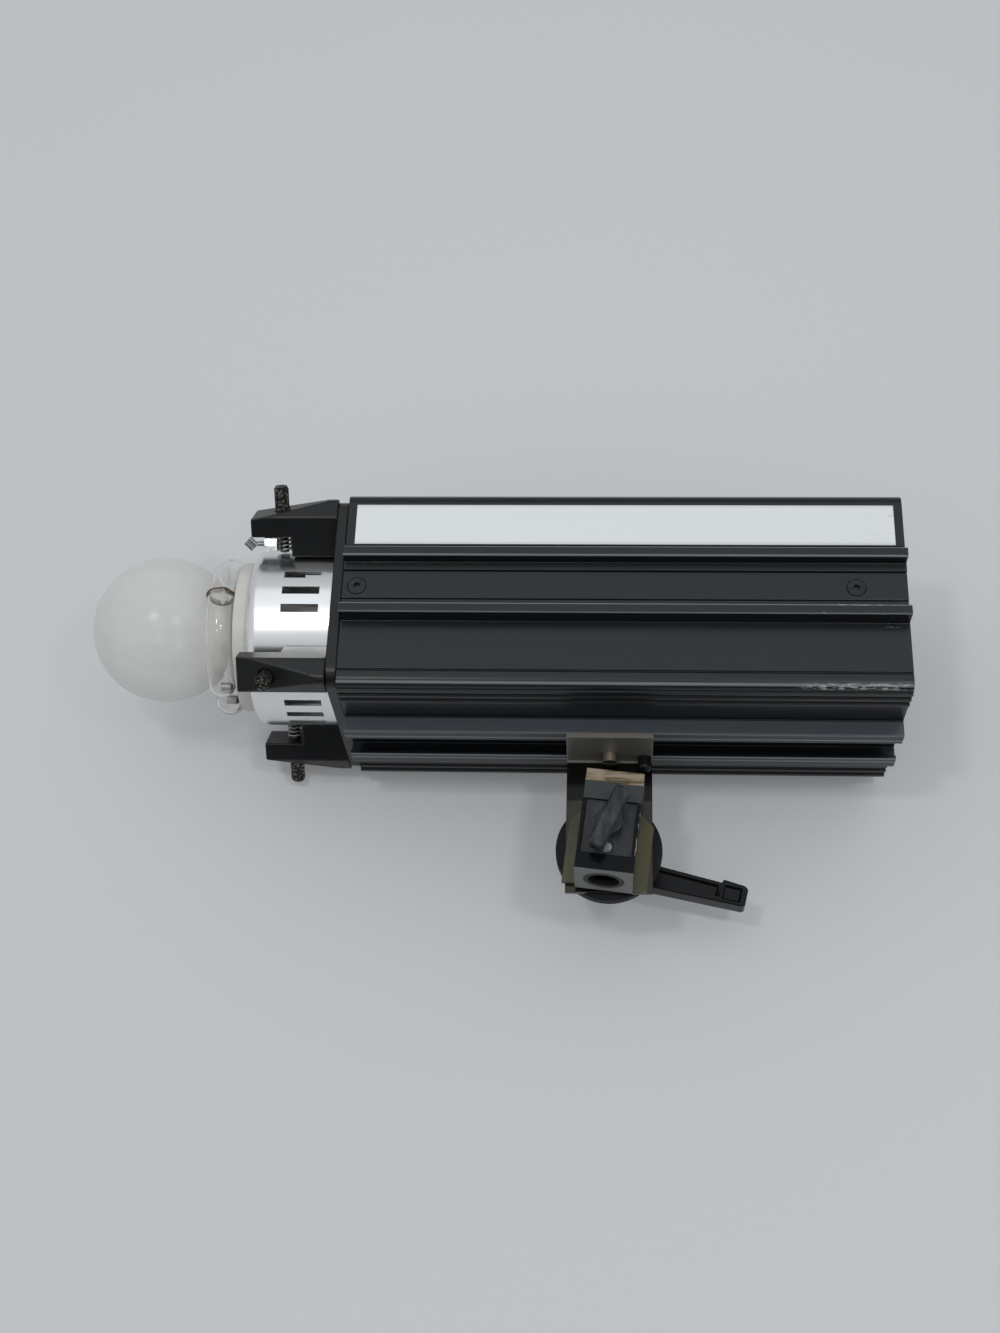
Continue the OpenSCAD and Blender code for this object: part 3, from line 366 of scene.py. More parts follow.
def enamelled(name, look):
    # a casting under black enamel: soft orange peel, small chips and grey streaks
    f = Finish(name, look["dark"], look["roughness"], 0.0, Specular_IOR_Level=look["gloss"])
    cloud = f.noise(60.0, detail=5.0)
    chips = f.noise(240.0, detail=6.0, roughness=0.75).step(0.69, 0.72)
    streak = f.noise(420.0, (1, 1, 0.2), 4.0, 0.7).step(0.60, 0.72)
    colour = f.mix(cloud, look["dark"], look["light"])
    colour = f.mix(streak * look["scuff"], colour, enamelWear["scuffed"])
    f.put("Base Color", f.mix(chips * enamelWear["chips"], colour, enamelWear["chipped"]))
    f.put("Roughness", look["roughness"] + cloud * 0.14 + chips * 0.2 + streak * look["scuff"] * 0.4)
    f.bump(f.noise(700.0, detail=3.0) + cloud * 0.6 - chips * 0.5, look["grain"], 0.5)
    return f


# places on the block, in the adapter's frame: its front and side, the recess, and its underside
blockPlaces = dict(front=-14.8, rim=-14.3, side=14.2, top=47.0, floor=(-14.2, -12.8), half=12.9,
                   low=9.1, high=38.0, under=0.45, wornFrom=(7, 12))


def blockFinish(look=dict(
        dark=(0.0020, 0.0030, 0.0045), light=(0.0045, 0.0060, 0.0075), floor=(0.082, 0.088, 0.096),
        band=(0.050, 0.058, 0.060), bare=(0.200, 0.205, 0.205), edge=(0.34, 0.35, 0.36), edges=0.9,
        roughness=0.09, gloss=0.12, relief=0.05)):
    # glossy black block: its recess is rubbed grey, its front edges are worn and carry a painted highlight,
    # and its underside is bare where it sits on the stand
    f = Finish("blockFinish", look["dark"], look["roughness"], 0.0, Specular_IOR_Level=look["gloss"])
    x, y, z = f.leaning()
    b = blockPlaces
    cloud = f.noise(80.0, detail=5.0)
    scuff = f.noise(300.0, (1, 1, 0.35), 5.0, 0.72).step(0.50, 0.72)
    # worn front edges, paler also as a painted highlight along the side and top edges
    rubbedAndLit = y.step(b["rim"], b["rim"] - 0.4) * z.step(*b["wornFrom"]) * (
        x.step(b["side"], b["side"] + 0.5) + z.step(b["top"], b["top"] + 0.4))
    recess = y.between(*b["floor"], 0.2) * x.between(-b["half"], b["half"], 0.05)
    recess = recess * z.between(b["low"], b["high"], 0.05)
    band = y.step(b["front"], b["front"] - 0.2) * z.step(b["high"] + 0.1, b["high"] + 0.4)
    under = z.step(b["under"], b["under"] - 0.3)
    colour = f.mix(cloud, look["dark"], look["light"])
    colour = f.mix(recess * (0.5 + scuff * 0.5), colour, look["floor"])
    colour = f.mix(band, colour, look["band"])
    colour = f.mix(rubbedAndLit * scuff.step(0.1, 0.5) * look["edges"], colour, look["edge"])
    f.put("Base Color", f.mix(under * (0.8 + cloud * 0.2), colour, look["bare"]))
    f.put("Metallic", under * 0.6)
    f.put("Roughness", look["roughness"] + cloud * 0.08 + recess * 0.22 + band * 0.15 + under * 0.3)
    f.bump(cloud + scuff * 0.5, look["relief"], 0.35)
    return f


def silverLabel(look=dict(colour=(0.77, 0.80, 0.81), pale=(0.82, 0.84, 0.845), soil=(0.30, 0.30, 0.29),
                          rim=0.25, worn=0.35, most=0.6, roughness=0.34, metal=0.55, relief=0.015,
                          low=24.8, high=46.6, wornAt=(235, 292))):
    # thin brushed aluminium plate: lines along its length, greyer where hands have rubbed its rim
    f = Finish("silverLabel", look["colour"], look["roughness"], look["metal"])
    x, y, z = f.axes()
    brush = f.noise(1500.0, (0.02, 1, 1), 3.0, 0.6)
    soil = f.noise(22.0, (0.6, 1, 2.0), 5.0)
    rim = (1.0 - (z - look["low"]).step(0.3, 2.2)) + (z - look["high"]).step(0.0, 2.1)
    wear = f.noise(420.0, (0.5, 1, 1), 5.0, 0.7).step(0.60, 0.70) * x.step(*look["wornAt"])
    colour = f.mix(soil, look["colour"], look["pale"])
    soiled = (rim * look["rim"] + wear * look["worn"]).smaller(look["most"])
    f.put("Base Color", f.mix(soiled, colour, look["soil"]))
    f.put("Roughness", look["roughness"] + brush * 0.12 + soil * 0.1)
    f.bump(brush, look["relief"], 0.5)
    return f


def polishedCollar(look=dict(colour=(0.87, 0.88, 0.89), dull=(0.36, 0.35, 0.33), pits=0.7, smears=0.08,
                             roughness=0.21, relief=0.02)):
    # spun and polished aluminium: fine rings round the lamp, smears and a few pits
    f = Finish("polishedCollar", look["colour"], look["roughness"], 1.0)
    rings = f.noise(1300.0, (1.0, 0.02, 0.02), 2.0)
    smear = f.noise(38.0, (0.4, 1, 1), 5.0, 0.65)
    pits = (1.0 - f.cells(300.0).step(0.03, 0.09)) * f.noise(45.0, offset=(5, 5, 5)).step(0.58, 0.64)
    f.put("Base Color", f.mix(pits * look["pits"] + smear * look["smears"], look["colour"], look["dull"]))
    f.put("Roughness", look["roughness"] + smear * 0.10 + pits * 0.3)
    f.bump(rings * 0.5 + smear, look["relief"], 0.4)
    return f


# heights in the head's frame between which the bracket's plate gets painted shade, and where its flat leg
# begins
bracketHeights = dict(shaded=(-92.5, -91.0), leg=(-70.2, -69.8))


def olivePlate(name, look):
    # steel with an olive chromate finish: cloudy, with warm and yellow casts in streaks up the plate
    f = Finish(name, look["dark"], look["roughness"], look["metal"])
    cloud = f.noise(48.0, (1, 1, 0.5), 5.0, 0.62)
    warm = f.noise(70.0, (1, 1, 0.14), 3.0, offset=(7, 2, 4))
    grain = f.noise(1400.0, look["brushed"], 2.0)
    colour = f.mix(cloud.step(0.3, 0.7), look["dark"], look["light"])
    colour = f.mix(warm.step(0.50, 0.66) * look["cast"], colour, look["yellow"])
    colour = f.mix(warm.step(0.46, 0.34) * look["cast"], colour, look["red"])
    up = f.axes()[2]
    leg = up.step(*bracketHeights["leg"])
    # painted shade: the plate is darkened below the leg, standing in for the housing's shadow and dark
    # reflection
    colour = f.mix(up.step(*bracketHeights["shaded"]) * (1.0 - leg) * 0.85, colour, look["shade"])
    # painted light: the flat leg is made paler, standing in for light that does not reach it under the
    # housing
    colour = f.mix(leg * 0.8, colour, look["leg"])
    spots = f.noise(300.0, detail=5.0, roughness=0.7).step(0.68, 0.74)
    f.put("Base Color", f.mix(spots * 0.4, colour, look["spot"]))
    f.put("Metallic", look["metal"] - leg * look["metal"] * 0.6)
    f.put("Roughness", look["roughness"] + cloud * 0.08 + grain * 0.06 + spots * 0.15 + leg * 0.25)
    f.bump(grain * 0.6 + cloud + spots * 0.3, 0.012, 0.35)
    return f


def dullBrass(name, look):
    # brass that has gone dull in bands that run across it
    f = Finish(name, look["colour"], look["roughness"], 0.9)
    bands = f.noise(190.0, (0.12, 0.4, 2.0), 3.0, 0.6)
    cloud = f.noise(46.0, detail=5.0)
    dull = (bands * 0.6 + cloud * 0.5).step(0.50, 0.66)
    if "stain" in look:
        # a darker patch over one part of the piece's length
        dull = dull.larger(f.leaning()[0].between(*look["stain"], 5.0) * bands.step(0.40, 0.56))
    f.put("Base Color", f.mix(dull, look["colour"], look["dull"]))
    f.put("Roughness", look["roughness"] + cloud * 0.15 + dull * 0.08)
    f.bump(f.noise(1500.0, (0.04, 1, 1), 2.0), look["line"], 0.4)
    return f


def bareSteel(name, colour, roughness, soil, metallic=1.0):
    # turned or plated steel: tool marks, with darker soil that gathers in patches
    f = Finish(name, colour, roughness, metallic)
    cloud = f.noise(130.0, detail=5.0, roughness=0.65)
    dark = tuple(c * 0.32 for c in colour)
    f.put("Base Color", f.mix(cloud.step(0.46, 0.72) * soil, colour, dark))
    f.put("Roughness", roughness + cloud * 0.22)
    f.bump(f.noise(2200.0, detail=2.0) + cloud * 0.8, 0.02, 0.4)
    return f


def knurledSteel(look=dict(high=(0.36, 0.34, 0.30), low=(0.035, 0.032, 0.028), roughness=0.32, metal=0.8,
                           points=720.0, relief=0.22)):
    # bronzed steel cut with small points: each cell is a point, pale at its middle and dark in its valleys
    f = Finish("knurledSteel", look["low"], look["roughness"], look["metal"])
    points = f.cells(look["points"])
    valley = points.step(0.22, 0.55)
    soil = f.noise(160.0, detail=4.0)
    f.put("Base Color", f.mix((valley + soil * 0.4).smaller(1.0), look["high"], look["low"]))
    f.put("Roughness", look["roughness"] + soil * 0.2)
    f.bump(1.0 - points, look["relief"], 0.7)
    return f


def moulded(name, colour, roughness, grain, shine=0.0, lighter=1.6):
    # moulded plastic or enamel with a fine grain and uneven sheen
    f = Finish(name, colour, roughness)
    cloud = f.noise(75.0, detail=4.0)
    f.put("Base Color", f.mix(cloud, colour, tuple(min(1.0, c * lighter) for c in colour)))
    f.put("Roughness", roughness + cloud * 0.15)
    if shine:
        f.put("Coat Weight", shine)
    f.bump(f.noise(1100.0, detail=3.0), grain, 0.5)
    return f


def knobFinish(look=dict(dark=(0.010, 0.012, 0.016), pale=(0.050, 0.054, 0.062), roughness=0.26, gloss=0.3,
                         relief=0.06)):
    # dark moulded bar gone grey with handling: pale scuffs run along it
    f = Finish("knobFinish", look["dark"], look["roughness"], 0.0, Specular_IOR_Level=look["gloss"])
    scuff = f.noise(150.0, (1.6, 1, 0.5), 6.0, 0.7)
    cloud = f.noise(70.0, detail=4.0)
    f.put("Base Color", f.mix((scuff * 0.7 + cloud * 0.4).step(0.42, 0.72), look["dark"], look["pale"]))
    f.put("Roughness", look["roughness"] + scuff * 0.2)
    f.bump(scuff + f.noise(900.0) * 0.3, look["relief"], 0.5)
    return f


def ceramic(look=dict(colour=(0.58, 0.57, 0.535), pale=(0.70, 0.69, 0.655), speck=(0.36, 0.33, 0.28),
                      specks=0.4, roughness=0.42, relief=0.05)):
    # steatite: off white, faintly mottled, with a soft glaze
    f = Finish("ceramic", look["colour"], look["roughness"])
    mottle = f.noise(110.0, detail=6.0, roughness=0.6)
    specks = f.noise(700.0, detail=4.0).step(0.68, 0.74)
    colour = f.mix(mottle, look["colour"], look["pale"])
    f.put("Base Color", f.mix(specks * look["specks"], colour, look["speck"]))
    f.put("Roughness", look["roughness"] + mottle * 0.15)
    f.bump(mottle + f.noise(1800.0) * 0.3, look["relief"], 0.4)
    return f


def quartzGlass(look=dict(colour=(0.985, 0.98, 0.965), haze=(0.84, 0.83, 0.80), hazy=0.35,
                          rust=(0.20, 0.115, 0.055), roughness=0.015, ior=1.46, passes=0.9, relief=0.05,
                          near=-26, burntAt=(5.4, 6.8))):
    # clear quartz with drawn streaks round the ring, and brown where the trigger wire crosses it
    f = Finish("quartzGlass", look["colour"], look["roughness"], Transmission_Weight=1.0, IOR=look["ior"])
    x, y, z = f.axes()
    streak = f.noise(55.0, (3.0, 1, 1), 4.0)
    haze = f.noise(220.0, detail=5.0).step(0.58, 0.74)
    burnt = y.step(look["near"], look["near"] - 2) * z.between(*look["burntAt"], 1.2)
    burnt = burnt * f.noise(420.0, detail=5.0, roughness=0.7).step(0.40, 0.58)
    colour = f.mix(haze * look["hazy"], look["colour"], look["haze"])
    f.put("Base Color", f.mix(burnt, colour, look["rust"]))
    shade = f.add("ShaderNodeLightPath", output="Is Shadow Ray")
    f.put("Alpha", 1.0 - shade * look["passes"])  # light passes through the glass to what is behind
    f.put("Roughness", look["roughness"] + haze * 0.14 + burnt * 0.4)
    f.bump(streak + haze * 0.2, look["relief"], 0.35)
    return f


def frostedGlobe(look=dict(colour=(0.735, 0.74, 0.715), pale=(0.815, 0.82, 0.795), clear=0.34, rim=0.78,
                           rimBlend=0.30, dusty=0.05, passes=0.6, roughness=0.20, relief=0.02)):
    # etched glass: thin to look through at the middle, denser towards its rim, with wiped streaks
    f = Finish("frostedGlobe", look["colour"], look["roughness"])
    rim = f.add("ShaderNodeLayerWeight", inputs={"Blend": look["rimBlend"]}, output=1)
    cloud = f.noise(42.0, detail=5.0)
    wiped = f.noise(60.0, (0.5, 2.2, 0.5), 4.0, 0.6, (1, 4, 2))
    dust = f.noise(260.0, detail=5.0, roughness=0.7).step(0.62, 0.74)
    f.put("Base Color", f.mix(cloud * 0.5 + wiped * 0.3, look["colour"], look["pale"]))
    shade = f.add("ShaderNodeLightPath", output="Is Shadow Ray")
    cover = look["clear"] + rim * (look["rim"] - look["clear"])
    cover = cover + (cloud + wiped) * 0.09 + dust * look["dusty"]
    f.put("Alpha", cover * (1.0 - shade * look["passes"]))  # the globe lets part of the light through
    f.put("Roughness", look["roughness"] + cloud * 0.03 + wiped * 0.04)
    f.bump(f.noise(900.0, detail=2.0), look["relief"], 0.3)
    return f


def circuitBoard(look=dict(green=(0.018, 0.085, 0.03), copper=(0.04, 0.17, 0.07), pad=(0.5, 0.5, 0.48),
                           roughness=0.35, tracks=160.0, gap=0.05)):
    # glass-fibre board: lighter tracks under green lacquer and bright pads
    f = Finish("circuitBoard", look["green"], look["roughness"])
    black, white = (0, 0, 0, 1), (1, 1, 1, 1)
    tracks = f.add("ShaderNodeTexBrick", inputs={
        "Vector": f.place(), "Scale": look["tracks"], "Mortar Size": look["gap"],
        "Color1": black, "Color2": black, "Mortar": white})
    pads = 1.0 - f.cells(260.0).step(0.08, 0.12)
    colour = f.mix(tracks, look["green"], look["copper"])
    f.put("Base Color", f.mix(pads, colour, look["pad"]))
    f.bump(pads, 0.05, 0.5)
    return f


def wound(name, colour, pitch, metallic):
    # wire or thin sheets laid side by side up the piece, the pitch apart in millimetres
    f = Finish(name, colour, 0.35, metallic)
    x, y, z = f.axes()
    turns = (z * (2 * math.pi / pitch)).sine() * 0.5 + 0.5
    f.put("Base Color", f.mix(turns, tuple(c * 0.35 for c in colour), colour))
    f.put("Roughness", 0.3 + f.noise(90.0) * 0.2)
    f.bump(turns, 0.2, 0.8)
    return f


def sleeve(look=dict(colour=(0.02, 0.05, 0.17), light=(0.03, 0.08, 0.25), stripe=(0.55, 0.56, 0.58),
                     end=(0.40, 0.40, 0.41), roughness=0.28, stripeAt=46.5, top=40.8)):
    # shrink sleeve round a capacitor, with the pale stripe that marks one side and a bare metal top
    f = Finish("sleeve", look["colour"], look["roughness"])
    x, y, z = f.axes()
    cloud = f.noise(55.0, detail=4.0)
    stripe = 1.0 - (y.absolute() - look["stripeAt"]).absolute().step(0.6, 1.0)
    end = z.step(look["top"] - 0.4, look["top"] - 0.1)
    colour = f.mix(cloud * 0.5, look["colour"], look["light"])
    colour = f.mix(stripe, colour, look["stripe"])
    f.put("Base Color", f.mix(end, colour, look["end"]))
    f.put("Metallic", end)
    f.put("Roughness", look["roughness"] + cloud * 0.15)
    f.bump(cloud, 0.08, 0.4)
    return f


def fibreCard(look=dict(colour=(0.42, 0.36, 0.25), pale=(0.56, 0.50, 0.38), roughness=0.75)):
    # pressed board: short pale fibres in a brown ground
    f = Finish("fibreCard", look["colour"], look["roughness"])
    fibre = f.noise(300.0, (0.3, 1, 1), 5.0, 0.7)
    f.put("Base Color", f.mix(fibre, look["colour"], look["pale"]))
    f.bump(fibre, 0.1, 0.6)
    return f


castLook = dict(
    dark=(0.0055, 0.0062, 0.0072), light=(0.012, 0.013, 0.014), roughness=0.27, grain=0.05, scuff=0.10,
    gloss=0.36)
enamelLook = dict(
    dark=(0.0022, 0.0028, 0.0036), light=(0.006, 0.007, 0.0085), roughness=0.22, grain=0.05, scuff=0.28,
    gloss=0.20)
discLook = dict(
    dark=(0.0120, 0.0130, 0.0150), light=(0.026, 0.028, 0.031), roughness=0.42, grain=0.05, scuff=0.28,
    gloss=0.07)
plateLook = dict(
    dark=(0.028, 0.027, 0.023), light=(0.048, 0.046, 0.039), yellow=(0.052, 0.049, 0.032),
    red=(0.056, 0.046, 0.038), shade=(0.004, 0.004, 0.0045), leg=(0.20, 0.19, 0.165),
    spot=(0.030, 0.027, 0.020), roughness=0.05, metal=0.75, cast=0.35, brushed=(0.05, 1, 1))
backLook = dict(
    dark=(0.062, 0.058, 0.043), light=(0.088, 0.082, 0.060), yellow=(0.100, 0.091, 0.043),
    red=(0.150, 0.090, 0.068), shade=(0.062, 0.058, 0.043), leg=(0.11, 0.10, 0.08),
    spot=(0.030, 0.027, 0.020), roughness=0.30, metal=0.60, cast=0.85, brushed=(1, 1, 0.05))
capLook = dict(colour=(0.27, 0.212, 0.160), dull=(0.085, 0.070, 0.038), roughness=0.30, line=0.03,
               stain=(-3.0, 7.0))
lampLook = dict(colour=(0.62, 0.55, 0.38), dull=(0.38, 0.32, 0.20), roughness=0.25, line=0.06)

finishes = dict(
    shell=blackAnodised(),
    cast=enamelled("castBlack", castLook),
    enamel=enamelled("blackEnamel", enamelLook),
    disc=enamelled("dullEnamel", discLook),
    block=blockFinish(),
    label=silverLabel(),
    collar=polishedCollar(),
    plate=olivePlate("olivePlate", plateLook),
    back=olivePlate("oliveBackPlate", backLook),
    cap=dullBrass("capBrass", capLook),
    lampBrass=dullBrass("lampBrass", lampLook),
    knurled=knurledSteel(),
    screwDark=bareSteel("darkScrew", (0.045, 0.047, 0.050), roughness=0.30, soil=0.5),
    endBronze=bareSteel("paleBronze", (0.30, 0.26, 0.22), roughness=0.32, soil=0.35),
    steel=bareSteel("plainSteel", (0.46, 0.47, 0.48), roughness=0.30, soil=0.35),
    spring=bareSteel("springSteel", (0.33, 0.34, 0.34), roughness=0.26, soil=0.3),
    chrome=bareSteel("brightPlating", (0.40, 0.41, 0.42), roughness=0.26, soil=0.4),
    grip=bareSteel("greyGrip", (0.36, 0.37, 0.37), roughness=0.36, soil=0.45),
    wire=bareSteel("burntWire", (0.16, 0.11, 0.07), roughness=0.45, soil=0.6, metallic=0.7),
    fuseBlack=moulded("fuseBlack", (0.010, 0.010, 0.011), roughness=0.25, grain=0.02),
    panel=moulded("panelBlack", (0.010, 0.011, 0.013), roughness=0.42, grain=0.06),
    fan=moulded("fanBlack", (0.014, 0.015, 0.017), roughness=0.4, grain=0.04),
    bushing=moulded("bushingBlack", (0.004, 0.004, 0.005), roughness=0.5, grain=0.05),
    knob=knobFinish(),
    whiteKnob=moulded("whiteKnob", (0.62, 0.62, 0.60), roughness=0.35, grain=0.02, shine=0.3, lighter=1.1),
    red=moulded("redButton", (0.32, 0.02, 0.015), roughness=0.3, grain=0.02, shine=0.4),
    redLens=moulded("redLens", (0.22, 0.008, 0.006), roughness=0.12, grain=0.01, shine=0.8),
    ceramic=ceramic(),
    quartz=quartzGlass(),
    globe=frostedGlobe(),
    board=circuitBoard(),
    copper=wound("copperWire", (0.62, 0.24, 0.10), pitch=0.6, metallic=0.8),
    core=wound("coreLaminations", (0.16, 0.12, 0.085), pitch=1.0, metallic=0.5),
    sleeve=sleeve(),
    card=fibreCard(),
    marks=moulded("paleMarks", (0.62, 0.63, 0.63), roughness=0.5, grain=0.01, lighter=1.1),
)
print("finishes made:", len(finishes))

# Pieces that keep their solid form
paint(finishes["bushing"], "socket_bushing")
paint(finishes["chrome"], "catch_body", "sync_jack")
paint(finishes["steel"], "grub_screw", "tilt_bolt", "clamp_nut", "tube_pins", "panel_screws")
paint(finishes["spring"], "finger_springs")
paint(finishes["grip"], "catch_pin")
paint(finishes["endBronze"], "clamp_screw")
paint(finishes["enamel"], "stop_pin")
paint(finishes["screwDark"], "shell_screws")
paint(finishes["knurled"], "thumbscrew_1", "thumbscrew_2", "thumbscrew_3", "thumbscrew_4")
paint(finishes["label"], "label_near", "label_far")
paint(finishes["sleeve"], "capacitor_1", "capacitor_2", "capacitor_3", "capacitor_4")
paint(finishes["card"], "capacitor_tray")
paint(finishes["board"], "main_board", "control_board")
paint(finishes["core"], "inductor")
paint(finishes["copper"], "trigger_coil")
paint(finishes["fan"], "fan_housing", "fan_rotor")
paint(finishes["lampBrass"], "lamp_cap")
paint(finishes["redLens"], "photocell", "ready_lamp")
print("plain nodes painted")

# Pieces with broken edges: the finish, and the width of the bevel in millimetres
bevels = dict(
    upper_shell=("shell", 0.45), lower_shell=("shell", 0.45), front_bezel=("cast", 0.8),
    finger_1=("cast", 0.7), finger_2=("cast", 0.7), finger_3=("cast", 0.7), finger_4=("cast", 0.7),
    adapter_block=("block", 0.3), adapter_cap=("cap", 0.3), adapter_backplate=("back", 0.25),
    tilt_bracket=("plate", 0.25), friction_disc=("disc", 0.4), tilt_lever=("enamel", 0.7),
    lock_knob=("knob", 0.9),
    rear_panel=("panel", 0.25), power_inlet=("fuseBlack", 0.4), power_switch=("fuseBlack", 0.4),
    fuse_cap=("fuseBlack", 0.5), flash_slider=("whiteKnob", 0.5), lamp_slider=("whiteKnob", 0.5),
    test_button=("red", 0.4), tube_base=("ceramic", 0.5), lamp_socket=("ceramic", 0.6),
)
for node, (finish, width) in bevels.items():
    dressed(node, finishes[finish], width)
dressed("collar", finishes["collar"], flat=30.0)
print("edges broken on", len(bevels), "pieces")

# Modelling lamp
globeSize = dict(centre=-106.5, radius=40.0, neck=13.4, base=-54.7, up=4.0, blend=16.0,
                 ballShare=0.86, ballRows=90, neckRows=24, steps=96)


def globeProfile(g):
    # a circle of the globe's radius drawn out into the neck: the radius is the larger of the circle and
    # the neck, rounded where they meet
    along = g["centre"] - g["radius"] * np.cos(np.linspace(0, np.pi * g["ballShare"], g["ballRows"]))
    along = np.concatenate([along[:-1], np.linspace(along[-1], g["base"], g["neckRows"])])
    ball = np.sqrt(np.maximum(0.0, g["radius"] ** 2 - (along - g["centre"]) ** 2))
    smooth = np.where(along > g["centre"], g["blend"], 0.0)
    gap = (ball - g["neck"]) / np.maximum(smooth, 1e-6)
    rounding = np.where(np.abs(gap) < 1, smooth * 0.25 * (1 - np.abs(gap)) ** 2, 0.0)
    soft = np.maximum(ball, g["neck"]) + rounding
    return np.stack([along, np.where(along > g["centre"], soft, ball)], 1)


points, faces = turned(globeProfile(globeSize), globeSize["steps"], (0, 0, globeSize["up"]))
globe = meshPiece("lampGlobe", inHead(points), faces, "head", finishes["globe"])
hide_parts("lamp_globe")
print("lamp globe made")

# Flash tube
tubeSize = dict(ring=35.6, radius=7.6, wall=1.1, at=-69.2, first=-84.0, sweep=348.0, rows=240, sides=36,
                legAngles=(-104.0, -76.0), legRadius=4.6, legEnd=-56.3, legFrom=6.9, legRows=12, legSides=24,
                rod=2.3, lead=0.8, rodFrom=-1.0, tipTo=4.5, rodInto=0.5, rodSides=16)


def ringPoints(t, radius, inset):
    # a tube bent round the lamp: the angle round the head runs along the rows, the tube's own angle along
    # the columns, and the tube closes to a point over the last few millimetres of each end
    angle = np.radians(t["first"] + np.linspace(0, t["sweep"], t["rows"]))
    length = np.radians(t["sweep"]) * t["ring"]
    distance = np.minimum(np.linspace(0, length, t["rows"]), np.linspace(length, 0, t["rows"])) - inset
    size = radius * np.sqrt(np.clip(1 - np.clip(1 - distance / radius, 0, 1) ** 2, 0, 1))
    a, b = np.meshgrid(angle, np.linspace(0, 2 * np.pi, t["sides"], endpoint=False), indexing="ij")
    out = t["ring"] + size[:, None] * np.cos(b)
    return np.stack([t["at"] + size[:, None] * np.sin(b), out * np.cos(a), out * np.sin(a)], -1)


def legPath(t, angle, start, end):
    # a straight run along the lamp's axis, at the ring's radius
    y, z = t["ring"] * math.cos(math.radians(angle)), t["ring"] * math.sin(math.radians(angle))
    return np.linspace((start, y, z), (end, y, z), t["legRows"])


t = tubeSize
skinFaces = gridFaces(t["rows"], t["sides"])
outer = meshPiece("flashTube", inHead(ringPoints(t, t["radius"], 0.0)), skinFaces, "head", finishes["quartz"])
hollow = ringPoints(t, t["radius"] - t["wall"], t["wall"])
inner = meshPiece("flashTubeHollow", inHead(hollow), skinFaces, "head", finishes["quartz"])
inner.data.flip_normals()
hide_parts("flash_tube")
for side, angle in enumerate(t["legAngles"]):
    path = legPath(t, angle, t["at"] + t["legFrom"], t["legEnd"])
    legPoints, legFaces = sweep(path, t["legRadius"], t["legSides"])
    leg = meshPiece(f"tubeLeg{side + 1}", inHead(legPoints), legFaces, "head", finishes["quartz"])
    rod = legPath(t, angle, t["at"] + t["rodFrom"], t["legEnd"] + t["rodInto"])
    thick = np.where(rod[:, 0] < t["at"] + t["tipTo"], t["rod"], t["lead"])  # a thick tip on a thin lead
    rodPoints, rodFaces = sweep(rod, thick, t["rodSides"])
    meshPiece(f"electrode{side + 1}", inHead(rodPoints), rodFaces, "head", finishes["grip"])
print("flash tube made")

# Trigger wire: one turn round the glass on the near side, and its lead back to the base
wireSize = dict(angle=170.0, radius=0.42, lift=0.3, foot=-61.2, turnFrom=0.35, overlap=0.1, turnRows=60,
                inwards=0.93, down=3.5, bow=(0, -0.8, 1.6), leadRows=20, sides=8)


def wirePath(w, t):
    # a ring round the tube at one angle round the lamp, then a bowed line back to the base
    a, r = math.radians(w["angle"]), t["radius"] + w["lift"]
    b = np.linspace(w["turnFrom"], 2 * np.pi + w["overlap"], w["turnRows"])
    out = t["ring"] + r * np.cos(b)
    loop = np.stack([t["at"] + r * np.sin(b), out * math.cos(a), out * math.sin(a)], -1)
    end, down = loop[-1], np.linspace(0, 1, w["leadRows"])[:, None]
    foot = np.array([w["foot"], end[1] * w["inwards"], end[2] - w["down"]])
    lead = end + down * (foot - end) + np.sin(down * np.pi) * np.array(w["bow"])
    return np.concatenate([loop, lead[1:]])


wirePoints, wireFaces = sweep(wirePath(wireSize, tubeSize), wireSize["radius"], wireSize["sides"])
meshPiece("triggerWire", inHead(wirePoints), wireFaces, "head", finishes["wire"])
print("trigger wire made")

# Marks on the rear panel
markSize = dict(face=289.5, thick=0.12, sliders=(16.6, 36.6), middle=22.0, length=32.0, ticks=9, beside=5.2,
                long=3.6, short=2.4, tall=0.5, sunk=0.05, pointer=(-2.0, -22.6, 0.7, 3.0))


def slab(y, z, width, height, m):
    # a thin plate on the panel's face: the eight corners of a box
    x = np.array([m["face"] - m["sunk"], m["face"] + m["thick"]])
    corner = np.array([[i, j, k] for i in (0, 1) for j in (-1, 1) for k in (-1, 1)], float)
    across, up = y + corner[:, 1] * width / 2, z + corner[:, 2] * height / 2
    points = np.stack([x[corner[:, 0].astype(int)], across, up], 1)
    return points, [[0, 1, 3, 2], [4, 6, 7, 5], [0, 4, 5, 1], [2, 3, 7, 6], [0, 2, 6, 4], [1, 5, 7, 3]]


def scaleTicks(m):
    # evenly spaced ticks beside each slider, every other one longer, and one pointer above the switch
    spots = np.linspace(-0.5, 0.5, m["ticks"]) * m["length"] + m["middle"]
    ticks = [slab(y - m["beside"], z, m["short"] if k % 2 else m["long"], m["tall"], m)
             for y in m["sliders"] for k, z in enumerate(spots)]
    return stack(ticks + [slab(*m["pointer"], m)])


points, faces = scaleTicks(markSize)
meshPiece("scaleMarks", inHead(points), faces, "head", finishes["marks"], smooth=False)
print("rear marks made")

# Backdrop, lights and camera
tableSize = dict(behind=78.4, reach=6.0, low=(0.600, 0.612, 0.615), high=(0.572, 0.592, 0.620),
                 lit=(0.665, 0.676, 0.690), patch=(0.60, 0.61, 0.62), even=0.15, fade=(-330, 130))


def seenRays(n, *kinds):
    # 1 for a ray of any of the named kinds
    rays = [n.add("ShaderNodeLightPath", output=f"Is {kind} Ray") for kind in kinds]
    total = rays[0]
    for ray in rays[1:]:
        total = total.larger(ray)
    return total


